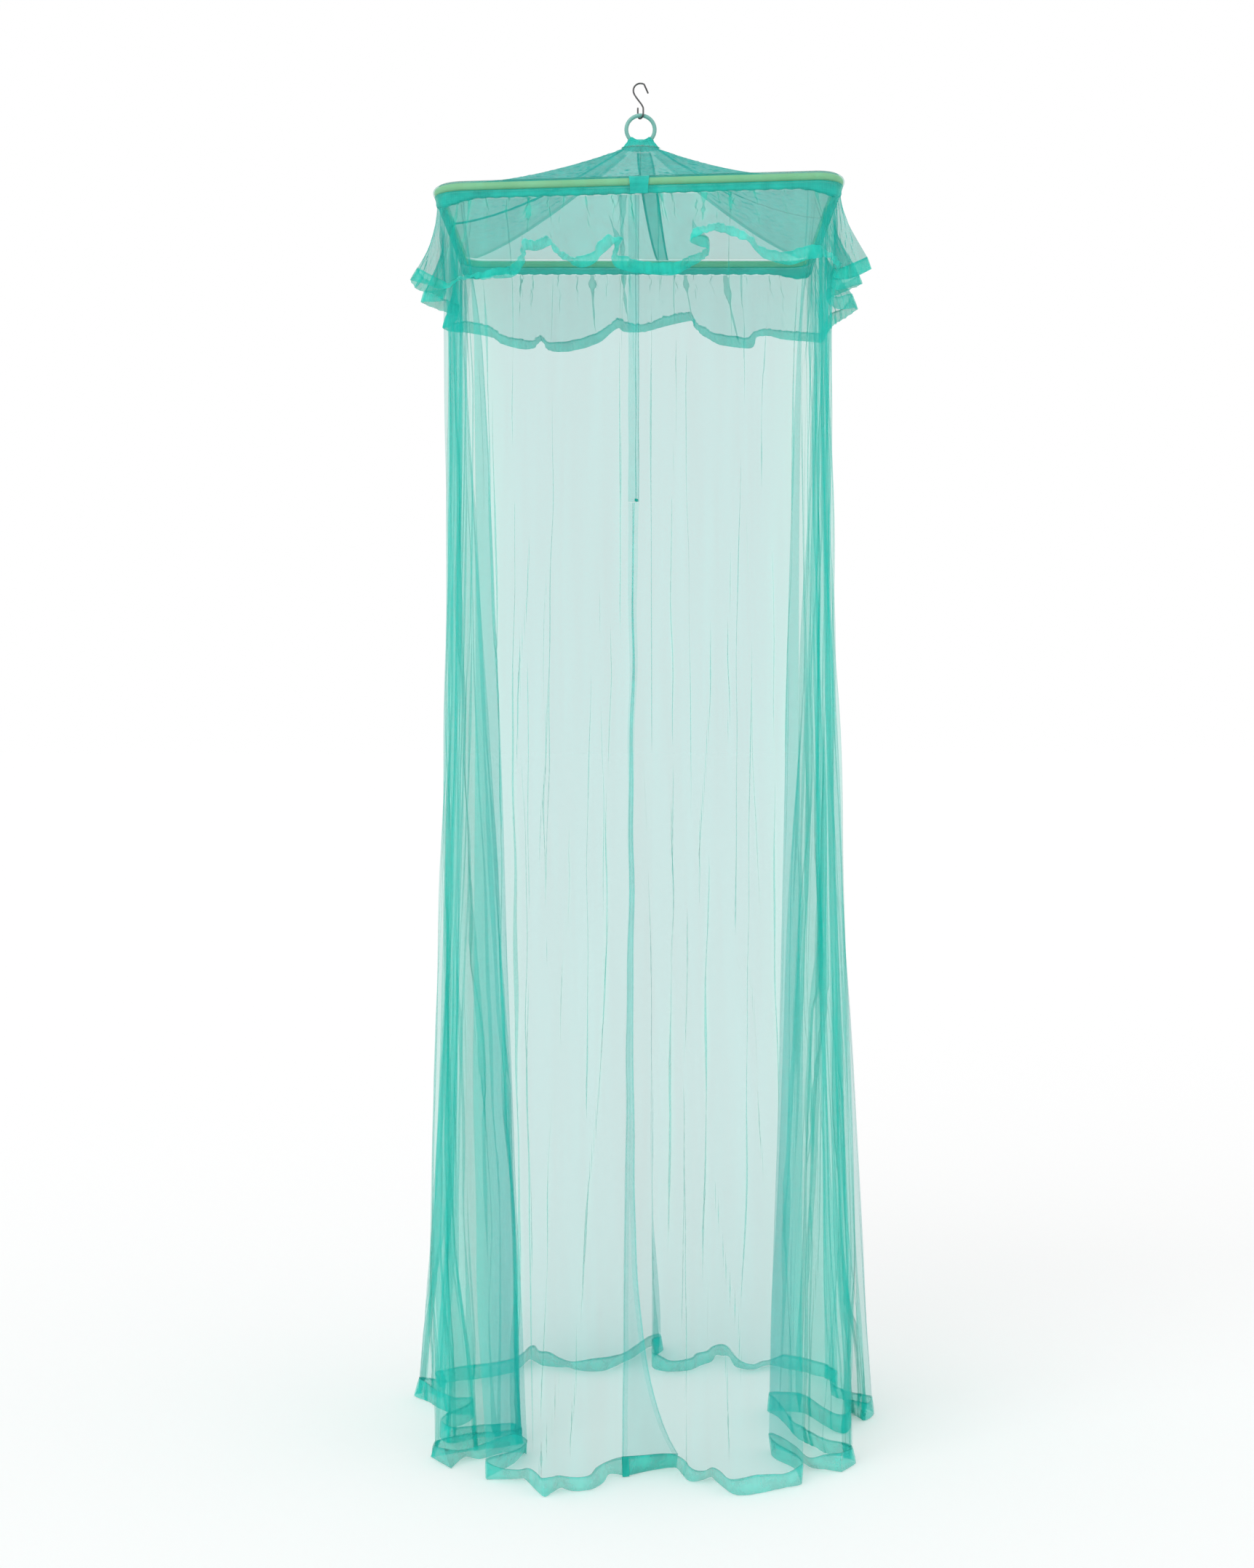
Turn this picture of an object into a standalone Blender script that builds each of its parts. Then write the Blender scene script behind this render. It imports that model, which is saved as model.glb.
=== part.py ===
"""Square mosquito net on a plastic tube frame, hung from an S-hook, with a frill and an overlapping door.

Metres, +Z up. The origin is the inside top of the S-hook, where the net hangs.
-Y is the front, where the door is, and +X is the right-hand side seen from the front.
"""

import math

import bmesh
import bpy
from mathutils import Matrix, Vector

# Hook and ring
WIRE_DIAMETER = 0.0028
HOOK_HEIGHT = 0.0605
HOOK_MOUTH_RADIUS = 0.0118
HOOK_MOUTH_ARC = (math.radians(60), math.radians(190))
HOOK_TIP_LEG = 0.0153
HOOK_TIP_BEND = math.radians(36)
HOOK_EYE_TURN = math.radians(-52)
HOOK_EYE_ROOM = 0.0006
HOOK_LEG_PULLS = (0.45, 0.35)
HOOK_SHORT_LEG = 0.011
RING_OUTER_DIAMETER = 0.053
RING_SECTION = 0.0065

# Cuff and roof
CUFF_HEIGHT = 0.0142
CUFF_DROP = 0.031
CUFF_TOP_HALF = (0.019, 0.0075)
CUFF_FOOT_HALF = (0.031, 0.022)
CUFF_GATHERS = 10
CUFF_GATHER_DEPTH = 0.06
CUFF_WAIST_POWER = 0.6
NECK_MARGIN = 0.002
ROOF_RISE = 0.119
ROOF_SAG_POWER = 1.45
ROOF_STEEPEST = math.radians(35)
TAPE_WIDTH = 0.008
STRAP_NECK_WIDTH = 0.034
STRAP_FOOT_WIDTH = 0.021
STRAP_NECK_X = 0.0085
STRAP_FOOT_X = 0.0455

# Frame and casing
FRAME_SIDE = 0.624
TUBE_DIAMETER = 0.013
TUBE_WALL = 0.0015
CORNER_RADIUS = 0.040
SPIGOT_LENGTH = 0.020
CASING_CLOTH = 0.0012
CASING_BAND_DROP = 0.011
CASING_BAND_THICKNESS = 0.0050
NEAR_SIDE_SLOPE = 0.0295
FRAME_SHIFT = -0.0042
TAB_TOP_WIDTH = 0.032
TAB_FOOT_WIDTH = 0.027
TAB_CENTRE_X = 0.000

# Frill
FRILL_LENGTH = 0.120
FRILL_HEM = 0.015
FRILL_FALL = 0.006
FRILL_FRONT_LEAN = math.radians(37)
FRILL_FRONT_SWING = math.radians(15)
FRILL_SIDE_LEAN = math.radians(19)
FRILL_SIDE_SWING = math.radians(5)
FRILL_CORNER_LEAN = math.radians(21)
FRILL_CREST_WIDTH = 0.24

# Walls and door
HANG_HEIGHT = 2.193
FLOOR_HEM = 0.030
FLOOR_HEM_KICK = 0.004
TACK_HEIGHT = 1.4765
TACK_SIZE = (0.006, 0.0016, 0.0035)
TACK_ROUNDING = 0.3
DOOR_SPLIT_X = -0.008
DOOR_BAND = 0.008
DOOR_STEP = 0.0010
DOOR_PULL_FROM = 0.6
DOOR_PULL_TO = 0.92
HEM_TAB_WIDTH = 0.010
HEM_TAB_ROOM = 0.0004

# How the walls spread on the way down: a higher power hangs straighter and flares lower
SPREAD_POWER = 1.42
SPREAD_TO_RIGHT = 0.20
SPREAD_TO_REAR = 0.35
CORNER_TUCK = 0.016
CORNER_TUCK_FROM = 0.6
TUCK_TOP = 0.12
TUCK_EASE = (0.2, 0.8)
# Folds beside the corners hang straighter
SIDE_HANG = 0.8
HANG_FROM = (0.50, 0.15)
HANG_TO = (1.32, 0.12)
# Folds that fall inwards from the casing slant almost straight to their place
INNER_POWER = 0.85
INNER_FROM = 0.03
INNER_EASE = 0.04

# Cloth and clearances
CLOTH = 0.0012
HEM_CLOTH = 0.0020
TRIM_CLOTH = 0.0016
SEAT_GAP = 0.0003
CLOTH_GAP = 0.0005
SEAM_GAP = 0.0026
TACK_CLEARANCE = 0.0023

# Fineness
TUBE_SIDES = 10
WIRE_SIDES = 8
ARC_STEPS = 3
ROOF_ROWS = (0.0, 0.12, 0.30, 0.55, 0.80, 1.0)
FRILL_COLUMNS = 24
FRILL_ROWS = (0.0, 0.05, 0.5, 1.0)

# Derived places
WIRE_RADIUS = WIRE_DIAMETER / 2
TUBE_RADIUS = TUBE_DIAMETER / 2
RING_SECTION_RADIUS = RING_SECTION / 2
RING_RADIUS = (RING_OUTER_DIAMETER - RING_SECTION) / 2
HOOK_EYE_RADIUS = RING_SECTION_RADIUS / math.sin(HOOK_EYE_TURN) ** 2 + WIRE_RADIUS + HOOK_EYE_ROOM
HOOK_FOOT_Z = WIRE_DIAMETER - HOOK_HEIGHT + WIRE_RADIUS
RING_TOP_Z = HOOK_FOOT_Z + WIRE_RADIUS + SEAT_GAP + RING_SECTION_RADIUS
RING_CENTRE_Z = RING_TOP_Z - RING_RADIUS
CUFF_FOOT_Z = RING_CENTRE_Z - CUFF_DROP
FRAME_HALF = FRAME_SIDE / 2 - TUBE_RADIUS
STRAIGHT_HALF = FRAME_HALF - CORNER_RADIUS
SIDE_HALF = STRAIGHT_HALF + CORNER_RADIUS * math.pi / 4
POLYGON_FLAT = math.cos(math.pi / TUBE_SIDES)
CASING_INNER = (TUBE_RADIUS + SEAT_GAP) / POLYGON_FLAT
CASING_OUTER = CASING_INNER + CASING_CLOTH / POLYGON_FLAT
FRAME_Z = CUFF_FOOT_Z - SEAT_GAP - CLOTH - ROOF_RISE - CASING_OUTER
BAND_FOOT = TUBE_RADIUS + CASING_BAND_DROP
CLOTH_TOP_Z = FRAME_Z - BAND_FOOT - CLOTH_GAP
CLOTH_SIDE_STEP = (CASING_BAND_THICKNESS - CLOTH) / 2
FLOOR_Z = -HANG_HEIGHT
WALL_FOOT_Z = FLOOR_Z + FLOOR_HEM
TACK_Z = FLOOR_Z + TACK_HEIGHT
WALL_HEIGHT = CLOTH_TOP_Z - WALL_FOOT_Z
TACK_SHARE = (CLOTH_TOP_Z - TACK_Z) / WALL_HEIGHT
DOOR_SHARE = DOOR_SPLIT_X / SIDE_HALF
WALL_ROWS = (0.0, TACK_SHARE / 2, TACK_SHARE, 0.45, 0.70, 1.0)
TRIM_LAP = (CLOTH + TRIM_CLOTH) / 2 + CLOTH_GAP

SIDES = ("front", "right", "rear", "left")
CORNERS = ("near_right", "far_right", "far_left", "near_left")

# Crests of each side's frill, as shares of the half side from its middle, going round to the right
FRILL_CRESTS = {
    "front": (-0.46, -0.15, 0.39, 0.88),
    "right": (-0.66, -0.12, 0.40),
    "rear": (-0.72, -0.31, 0.16, 0.60),
    "left": (-0.50, 0.02, 0.55),
}

# Fold lines of each wall, going round to the right. Each runs from the casing (share of the half side
# from its middle, metres inside the casing's band) to the floor (x and y as shares of the frame's half).
FOLD_LINES = {
    "rear": (
        (-1.00, 0.000, 0.858, 1.106),
        (-0.86, 0.001, 0.773, 0.998),
        (-0.74, 0.003, 0.694, 0.930),
        (-0.62, 0.001, 0.609, 0.975),
        (-0.52, 0.004, 0.524, 1.283),
        (-0.42, 0.002, 0.445, 1.309),
        (-0.30, 0.003, 0.321, 0.962),
        (-0.18, 0.001, 0.196, 0.917),
        (-0.10, 0.004, 0.098, 0.982),
        (-0.06, 0.002, 0.079, 1.283),
        (0.02, 0.004, -0.026, 1.106),
        (0.20, 0.001, -0.196, 0.897),
        (0.32, 0.003, -0.308, 0.884),
        (0.44, 0.001, -0.412, 0.975),
        (0.62, 0.004, -0.589, 1.309),
        (0.82, 0.001, -0.736, 1.195),
        (1.00, 0.000, -0.858, 1.106),
    ),
    "left": (
        (-1.00, 0.000, -0.858, 1.106),
        (-0.85, 0.001, -1.031, 0.998),
        (-0.70, 0.004, -1.119, 0.818),
        (-0.52, 0.001, -1.054, 0.622),
        (-0.36, 0.005, -1.224, 0.409),
        (-0.20, 0.001, -1.129, 0.229),
        (-0.04, 0.005, -1.008, 0.065),
        (0.12, 0.001, -1.106, -0.131),
        (0.28, 0.003, -1.061, -0.278),
        (0.42, 0.006, -0.858, -0.229),
        (0.56, 0.012, -0.655, -0.196),
        (0.62, 0.014, -0.602, -0.268),
        (0.66, 0.010, -0.694, -0.347),
        (0.74, 0.004, -0.923, -0.399),
        (0.84, 0.001, -1.054, -0.517),
        (0.93, 0.001, -1.070, -0.661),
        (1.00, 0.000, -0.962, -0.825),
    ),
    "front_left": (
        (-1.00, 0.000, -0.962, -0.825),
        (-0.97, 0.002, -0.802, -0.759),
        (-0.93, 0.010, -0.628, -0.615),
        (-0.915, 0.012, -0.566, -0.668),
        (-0.90, 0.008, -0.602, -0.786),
        (-0.885, 0.002, -0.740, -0.884),
        (-0.865, 0.000, -0.789, -0.962),
        (-0.80, 0.002, -0.671, -1.008),
        (-0.64, 0.004, -0.540, -1.097),
        (-0.48, 0.001, -0.452, -1.218),
        (-0.34, 0.004, -0.327, -1.152),
        (-0.20, 0.001, -0.196, -1.074),
        (-0.11, 0.000, -0.072, -0.858),
        (-0.06, DOOR_STEP, 0.065, -0.727),
        (DOOR_SHARE, DOOR_STEP, 0.196, -0.694),
    ),
    "front_right": (
        (DOOR_SHARE, -DOOR_STEP, -0.085, -0.917),
        (0.02, -DOOR_STEP, 0.065, -0.805),
        (0.08, 0.002, 0.209, -0.786),
        (0.16, 0.001, 0.301, -1.002),
        (0.30, 0.004, 0.412, -1.113),
        (0.44, 0.001, 0.550, -1.205),
        (0.60, 0.004, 0.700, -1.067),
        (0.80, 0.001, 0.805, -0.982),
        (0.865, 0.000, 0.786, -0.877),
        (0.885, 0.004, 0.694, -0.700),
        (0.90, 0.010, 0.661, -0.543),
        (0.915, 0.012, 0.707, -0.491),
        (0.94, 0.006, 0.858, -0.759),
        (1.00, 0.000, 1.021, -0.877),
    ),
    "right": (
        (-1.00, 0.000, 1.021, -0.877),
        (-0.93, 0.001, 1.119, -0.700),
        (-0.84, 0.001, 1.093, -0.550),
        (-0.74, 0.004, 0.936, -0.399),
        (-0.66, 0.010, 0.773, -0.157),
        (-0.62, 0.014, 0.720, 0.020),
        (-0.56, 0.012, 0.805, 0.039),
        (-0.42, 0.006, 0.982, -0.190),
        (-0.28, 0.003, 1.133, -0.301),
        (-0.16, 0.001, 1.061, -0.157),
        (-0.02, 0.005, 1.152, -0.013),
        (0.10, 0.001, 1.270, 0.151),
        (0.26, 0.005, 1.133, 0.340),
        (0.42, 0.001, 1.067, 0.550),
        (0.58, 0.004, 1.146, 0.786),
        (0.80, 0.001, 1.041, 0.982),
        (1.00, 0.000, 0.858, 1.106),
    ),
}


def make_material(name, colour, roughness, metallic=0.0, alpha=1.0):
    """A Principled material in the piece's own colour."""
    material = bpy.data.materials.new(name)
    material.use_nodes = True
    shader = material.node_tree.nodes["Principled BSDF"]
    shader.inputs["Base Color"].default_value = (*colour, 1.0)
    shader.inputs["Roughness"].default_value = roughness
    shader.inputs["Metallic"].default_value = metallic
    shader.inputs["Alpha"].default_value = alpha
    material.diffuse_color = (*colour, 1.0)
    return material


def add_object(name, mesh, material):
    """Links a mesh under a piece's name, shaded smooth with its sharp edges kept."""
    mesh.materials.append(material)
    mesh.shade_smooth()
    mesh.set_sharp_from_angle(angle=math.radians(50))
    obj = bpy.data.objects.new(name, mesh)
    bpy.context.scene.collection.objects.link(obj)
    return obj


def solid(name, points, faces, material):
    """A closed mesh from points and faces, with its faces pointing out."""
    mesh = bpy.data.meshes.new(name)
    mesh.from_pydata(points, [], faces)
    work = bmesh.new()
    work.from_mesh(mesh)
    bmesh.ops.recalc_face_normals(work, faces=work.faces)
    work.to_mesh(mesh)
    work.free()
    return add_object(name, mesh, material)


def bridge(first, second, sides):
    """Faces between two rings of points that start at these numbers."""
    return [
        (first + i, first + (i + 1) % sides, second + (i + 1) % sides, second + i) for i in range(sides)
    ]


def loft(name, rings, material, closed=False):
    """A solid through rings of points, capped at its ends or closed on itself."""
    sides = len(rings[0])
    faces = []
    for k in range(len(rings) - 1):
        faces += bridge(k * sides, (k + 1) * sides, sides)
    last = (len(rings) - 1) * sides
    if closed:
        faces += bridge(last, 0, sides)
    else:
        faces.append(tuple(range(sides)))
        faces.append(tuple(range(last, last + sides)))
    return solid(name, [p for ring in rings for p in ring], faces, material)


def hollow_loft(name, outer, inner, material):
    """A tube through pairs of rings, open at both ends."""
    sides = len(outer[0])
    count = len(outer)
    faces = []
    for k in range(count - 1):
        faces += bridge(k * sides, (k + 1) * sides, sides)
        faces += bridge((count + k + 1) * sides, (count + k) * sides, sides)
    for k in (0, count - 1):
        faces += bridge(k * sides, (count + k) * sides, sides)
    return solid(name, [p for ring in (*outer, *inner) for p in ring], faces, material)


def sheet(name, grid, thickness, material):
    """A cloth through rows of points, given its thickness by a Solidify modifier."""
    columns = len(grid[0])
    faces = []
    for r in range(len(grid) - 1):
        for c in range(columns - 1):
            corner = r * columns + c
            faces.append((corner, corner + 1, corner + columns + 1, corner + columns))
    mesh = bpy.data.meshes.new(name)
    mesh.from_pydata([p for row in grid for p in row], [], faces)
    obj = add_object(name, mesh, material)
    thicken = obj.modifiers.new("thickness", "SOLIDIFY")
    thicken.thickness = thickness
    thicken.offset = 0
    return obj


def quarter_turn(side, x, y):
    """Turns a plan point of the front side to another side, counted to the right."""
    return ((x, y), (-y, x), (-x, -y), (y, -x))[side]


def tilt(x, y):
    """How much higher the frame hangs here, as its near side slopes and its far side is level."""
    return NEAR_SIDE_SLOPE * x * (0.5 - y / (2 * FRAME_HALF))


def perimeter(side, share, offset):
    """Plan point on the frame's centreline moved outwards, and the outward direction."""
    reach = share * SIDE_HALF
    turn = max(0.0, abs(reach) - STRAIGHT_HALF) / CORNER_RADIUS
    nx = math.copysign(math.sin(turn), reach)
    ny = -math.cos(turn)
    if turn > 0:
        x = math.copysign(STRAIGHT_HALF, reach) + nx * (CORNER_RADIUS + offset)
    else:
        x = reach
    y = -STRAIGHT_HALF + ny * (CORNER_RADIUS + offset)
    return quarter_turn(side, x, y), quarter_turn(side, nx, ny)


def section(base, normal, outline):
    """Points of an outline (out, up) set square to the frame at a plan point."""
    points = []
    for out, up in outline:
        x = base[0] + normal[0] * out
        y = base[1] + normal[1] * out
        points.append((x, y, FRAME_Z + up + tilt(x, y)))
    return points


def polygon(radius, sides=TUBE_SIDES):
    """Outline of a round section with a flat at its foot."""
    start = -math.pi / 2 + math.pi / sides
    step = 2 * math.pi / sides
    return [(radius * math.cos(start + k * step), radius * math.sin(start + k * step)) for k in range(sides)]


def arc_shares():
    """Shares of the half side at which the rounded corner's sections stand."""
    straight = STRAIGHT_HALF / SIDE_HALF
    return [straight + (1 - straight) * k / ARC_STEPS for k in range(ARC_STEPS + 1)]


def mix(a, b, share):
    return a + (b - a) * share


def smooth_step(value):
    value = min(1.0, max(0.0, value))
    return value * value * (3 - 2 * value)


def halfway_points(lines):
    """The lines with one more between each two, on a smooth curve through them."""
    result = []
    for k in range(len(lines) - 1):
        before = lines[max(k - 1, 0)]
        after = lines[min(k + 2, len(lines) - 1)]
        middle = [
            (9 * (b + c) - a - d) / 16 for a, b, c, d in zip(before, lines[k], lines[k + 1], after)
        ]
        result += [lines[k], tuple(middle)]
    return result + [lines[-1]]


def build_hook(material):
    """Wire hook: a round mouth seen from the front, and a smaller eye turned across the ring."""
    mouth = Vector((0, 0, WIRE_RADIUS - HOOK_MOUTH_RADIUS))
    eye = Vector((0, 0, HOOK_FOOT_Z + HOOK_EYE_RADIUS))
    across = Vector((math.cos(HOOK_EYE_TURN), math.sin(HOOK_EYE_TURN), 0))
    top_angle, end_angle = HOOK_MOUTH_ARC
    lean = top_angle - math.pi / 2 - HOOK_TIP_BEND
    shoulder = mouth + HOOK_MOUTH_RADIUS * Vector((math.cos(top_angle), 0, math.sin(top_angle)))
    route = [shoulder + HOOK_TIP_LEG * Vector((math.cos(lean), 0, math.sin(lean)))]
    for k in range(11):
        angle = mix(top_angle, end_angle, k / 10)
        route.append(mouth + HOOK_MOUTH_RADIUS * Vector((math.cos(angle), 0, math.sin(angle))))
    start = route[-1]
    start_pull = Vector((-math.sin(end_angle), 0, math.cos(end_angle))) * HOOK_HEIGHT * HOOK_LEG_PULLS[0]
    finish = eye + across * HOOK_EYE_RADIUS + Vector((0, 0, HOOK_EYE_RADIUS))
    finish_pull = Vector((0, 0, -1)) * HOOK_HEIGHT * HOOK_LEG_PULLS[1]
    for k in range(1, 9):
        t = k / 8
        route.append(
            start * (2 * t**3 - 3 * t**2 + 1)
            + start_pull * (t**3 - 2 * t**2 + t)
            + finish * (3 * t**2 - 2 * t**3)
            + finish_pull * (t**3 - t**2)
        )
    for k in range(9):
        angle = math.pi * k / 8
        route.append(eye + HOOK_EYE_RADIUS * (across * math.cos(angle) - Vector((0, 0, math.sin(angle)))))
    route.append(route[-1] + Vector((0, 0, HOOK_SHORT_LEG)))

    curve = bpy.data.curves.new("s_hook", "CURVE")
    curve.dimensions = "3D"
    curve.bevel_depth = WIRE_RADIUS
    curve.bevel_resolution = 2
    curve.use_fill_caps = True
    spline = curve.splines.new("POLY")
    spline.points.add(len(route) - 1)
    for point, place in zip(spline.points, route):
        point.co = (*place, 1)
    curve.materials.append(material)
    obj = bpy.data.objects.new("s_hook", curve)
    bpy.context.scene.collection.objects.link(obj)


def torus(name, section_radius, material):
    """A ring of the hanging ring's radius, standing in the XZ plane with its origin on its hinge."""
    rings = []
    for k in range(28):
        angle = 2 * math.pi * k / 28
        ray = Vector((math.cos(angle), 0, math.sin(angle)))
        rings.append(
            [
                ray * (RING_RADIUS + out) + Vector((0, up, -RING_RADIUS))
                for out, up in polygon(section_radius, WIRE_SIDES)
            ]
        )
    obj = loft(name, rings, material, closed=True)
    obj.location = (0, 0, RING_TOP_Z)
    return obj


def build_cuff(material):
    """Gathered cloth folded round the ring's lower arc, with a channel that the ring runs through."""
    levels = (0.0, 0.3, 0.65, 1.0)
    count = 2 * CUFF_GATHERS
    rings = []
    for level in levels:
        half_x = mix(CUFF_FOOT_HALF[0], CUFF_TOP_HALF[0], level**CUFF_WAIST_POWER)
        half_y = mix(CUFF_FOOT_HALF[1], CUFF_TOP_HALF[1], level**CUFF_WAIST_POWER)
        ring = []
        for k in range(count):
            angle = 2 * math.pi * k / count
            swell = 1 + CUFF_GATHER_DEPTH * (-1) ** k
            ring.append(
                (
                    half_x * swell * math.cos(angle),
                    half_y * swell * math.sin(angle),
                    CUFF_FOOT_Z + CUFF_HEIGHT * level,
                )
            )
        rings.append(ring)
    cuff = loft("ring_cuff", rings, material)
    flat = math.cos(math.pi / WIRE_SIDES)
    cutter = torus("cuff_channel", RING_SECTION_RADIUS + CLOTH_GAP / flat, material)
    cutter.hide_render = True
    cutter.display_type = "WIRE"
    channel = cuff.modifiers.new("channel", "BOOLEAN")
    channel.operation = "DIFFERENCE"
    channel.object = cutter


def roof_point(side, share, row, drop=0.0):
    """A point of the roof cloth: row 0 is at the neck under the cuff, and row 1 lies on the casing."""
    edge, _ = perimeter(side, share, 0.0)
    angle = math.radians(-90 + 45 * share + 90 * side)
    neck_x = (CUFF_FOOT_HALF[0] * (1 - CUFF_GATHER_DEPTH) - NECK_MARGIN) * math.cos(angle)
    neck_y = (CUFF_FOOT_HALF[1] * (1 - CUFF_GATHER_DEPTH) - NECK_MARGIN) * math.sin(angle)
    x = mix(neck_x - FRAME_SHIFT, edge[0], row)
    y = mix(neck_y, edge[1], row)
    edge_z = FRAME_Z + CASING_OUTER + CLOTH + tilt(x, y) * row
    return (x, y, edge_z + (ROOF_RISE - CLOTH_GAP) * (1 - row) ** ROOF_SAG_POWER - drop)


def build_roof(net, trim):
    """Four roof cloths, the tapes under their hips and the strap under the rear cloth."""
    straight = STRAIGHT_HALF / SIDE_HALF
    last = 1 - SEAM_GAP / 2 / SIDE_HALF
    arc = (last, mix(straight, last, 0.5), straight)
    shares = (*(-s for s in arc), *(straight * k / 3 for k in (-2, -1, 0, 1, 2)), *reversed(arc))
    for side, name in enumerate(SIDES):
        grid = [[roof_point(side, share, row) for share in shares] for row in ROOF_ROWS]
        sheet(f"roof_{name}", grid, CLOTH, net)

    drop = TRIM_LAP / math.cos(ROOF_STEEPEST)
    for side, name in enumerate(CORNERS):
        grid = []
        for row in ROOF_ROWS[1:-1]:
            spread = TAPE_WIDTH / 2 / mix(CUFF_FOOT_HALF[1], SIDE_HALF, row)
            grid.append(
                [
                    roof_point(side, 1 - spread, row, drop),
                    roof_point(side, 1.0, row, drop),
                    roof_point((side + 1) % 4, spread - 1, row, drop),
                ]
            )
        sheet(f"roof_tape_{name}", grid, TRIM_CLOTH, trim)

    grid = []
    for row in ROOF_ROWS[1:-1]:
        middle = mix(STRAP_NECK_X, STRAP_FOOT_X, row)
        half_width = mix(STRAP_NECK_WIDTH, STRAP_FOOT_WIDTH, row) / 2
        reach = mix(CUFF_FOOT_HALF[0], SIDE_HALF, row)
        grid.append([roof_point(2, (step - middle) / reach, row, drop) for step in (-half_width, half_width)])
    sheet("rear_roof_strap", grid, TRIM_CLOTH, trim)


def build_frame(plastic):
    """Four straight tubes, and four elbows whose spigots plug into them."""
    end = (STRAIGHT_HALF - SEAT_GAP) / SIDE_HALF
    bore = TUBE_RADIUS - TUBE_WALL
    for side, name in enumerate(SIDES):
        stations = [perimeter(side, share, 0.0) for share in (-end, end)]
        outer = [section(base, normal, polygon(TUBE_RADIUS)) for base, normal in stations]
        inner = [section(base, normal, polygon(bore)) for base, normal in stations]
        hollow_loft(f"frame_tube_{name}", outer, inner, plastic)

    spigot = bore * POLYGON_FLAT - SEAT_GAP
    for side, name in enumerate(CORNERS):
        stations = [
            (STRAIGHT_HALF - SPIGOT_LENGTH, -FRAME_HALF, 0.0, spigot),
            (STRAIGHT_HALF, -FRAME_HALF, 0.0, spigot),
        ]
        for k in range(2 * ARC_STEPS + 1):
            turn = math.pi / 2 * k / (2 * ARC_STEPS)
            x = STRAIGHT_HALF + CORNER_RADIUS * math.sin(turn)
            y = -STRAIGHT_HALF - CORNER_RADIUS * math.cos(turn)
            stations.append((x, y, turn, TUBE_RADIUS))
        quarter = math.pi / 2
        stations.append((FRAME_HALF, -STRAIGHT_HALF, quarter, spigot))
        stations.append((FRAME_HALF, SPIGOT_LENGTH - STRAIGHT_HALF, quarter, spigot))
        rings = []
        for x, y, turn, radius in stations:
            base = quarter_turn(side, x, y)
            normal = quarter_turn(side, math.sin(turn), -math.cos(turn))
            rings.append(section(base, normal, polygon(radius)))
        loft(f"frame_elbow_{name}", rings, plastic)


def casing_outline():
    """The casing round the tube, drawn in below it to the sewn band."""
    outline = polygon(CASING_OUTER)
    outline[0] = (CASING_BAND_THICKNESS / 2, -BAND_FOOT)
    outline[-1] = (-CASING_BAND_THICKNESS / 2, -BAND_FOOT)
    return outline


def build_casing(band, trim):
    """Four lengths of casing, and the tab over the front one."""
    arc = arc_shares()
    arc[-1] -= SEAM_GAP / 2 / SIDE_HALF
    shares = [-share for share in reversed(arc)] + arc
    for side, name in enumerate(SIDES):
        stations = [perimeter(side, share, 0.0) for share in shares]
        outer = [section(base, normal, casing_outline()) for base, normal in stations]
        inner = [section(base, normal, polygon(CASING_INNER)) for base, normal in stations]
        hollow_loft(f"casing_{name}", outer, inner, band)

    lap = SEAT_GAP + TRIM_CLOTH / 2
    outline = polygon(CASING_OUTER + lap / POLYGON_FLAT)
    wrap = [(CASING_BAND_THICKNESS / 2 + lap / POLYGON_FLAT, -BAND_FOOT), *outline[1:5]]
    grid = []
    for k, (out, up) in enumerate(wrap):
        half_width = mix(TAB_FOOT_WIDTH, TAB_TOP_WIDTH, k / (len(wrap) - 1)) / 2
        row = []
        for x in (TAB_CENTRE_X - half_width, TAB_CENTRE_X + half_width):
            row += section((x, -FRAME_HALF), (0, -1), [(out, up)])
        grid.append(row)
    sheet("door_top_tab", grid, TRIM_CLOTH, trim)


def frill_lean(name, share):
    """How far the frill leans out here: most at a crest and least between crests."""
    wave = -1.0
    for crest in FRILL_CRESTS[name]:
        near = abs(share - crest) / FRILL_CREST_WIDTH
        if near < 1:
            wave += 2 * math.cos(near * math.pi / 2) ** 2
    if name in ("front", "rear"):
        lean = FRILL_FRONT_LEAN + FRILL_FRONT_SWING * min(wave, 1.0)
    else:
        lean = FRILL_SIDE_LEAN + FRILL_SIDE_SWING * min(wave, 1.0)
    return mix(FRILL_CORNER_LEAN, lean, 1 - share**8)


def frill_point(side, share, length):
    """A point of the frill, this far down its cloth: it falls straight first, then leans out."""
    (x, y), (nx, ny) = perimeter(side, share, CLOTH_SIDE_STEP)
    lean = frill_lean(SIDES[side], share)
    free = max(0.0, length - FRILL_FALL)
    out = math.sin(lean) * free
    down = min(length, FRILL_FALL) + math.cos(lean) * free
    x += nx * out
    y += ny * out
    return (x, y, CLOTH_TOP_Z - down + tilt(x, y))


def build_frill(net, hem):
    """The frill and its hem band on each side."""
    last = 1 - SEAM_GAP / 2 / SIDE_HALF
    shares = [mix(-last, last, k / FRILL_COLUMNS) for k in range(FRILL_COLUMNS + 1)]
    for side, name in enumerate(SIDES):
        lengths = [row * FRILL_LENGTH for row in FRILL_ROWS]
        sheet(f"frill_{name}", [[frill_point(side, s, d) for s in shares] for d in lengths], CLOTH, net)
        lengths = [FRILL_LENGTH + CLOTH_GAP, FRILL_LENGTH + CLOTH_GAP + FRILL_HEM]
        grid = [[frill_point(side, s, d) for s in shares] for d in lengths]
        sheet(f"frill_hem_{name}", grid, HEM_CLOTH, hem)


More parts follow.
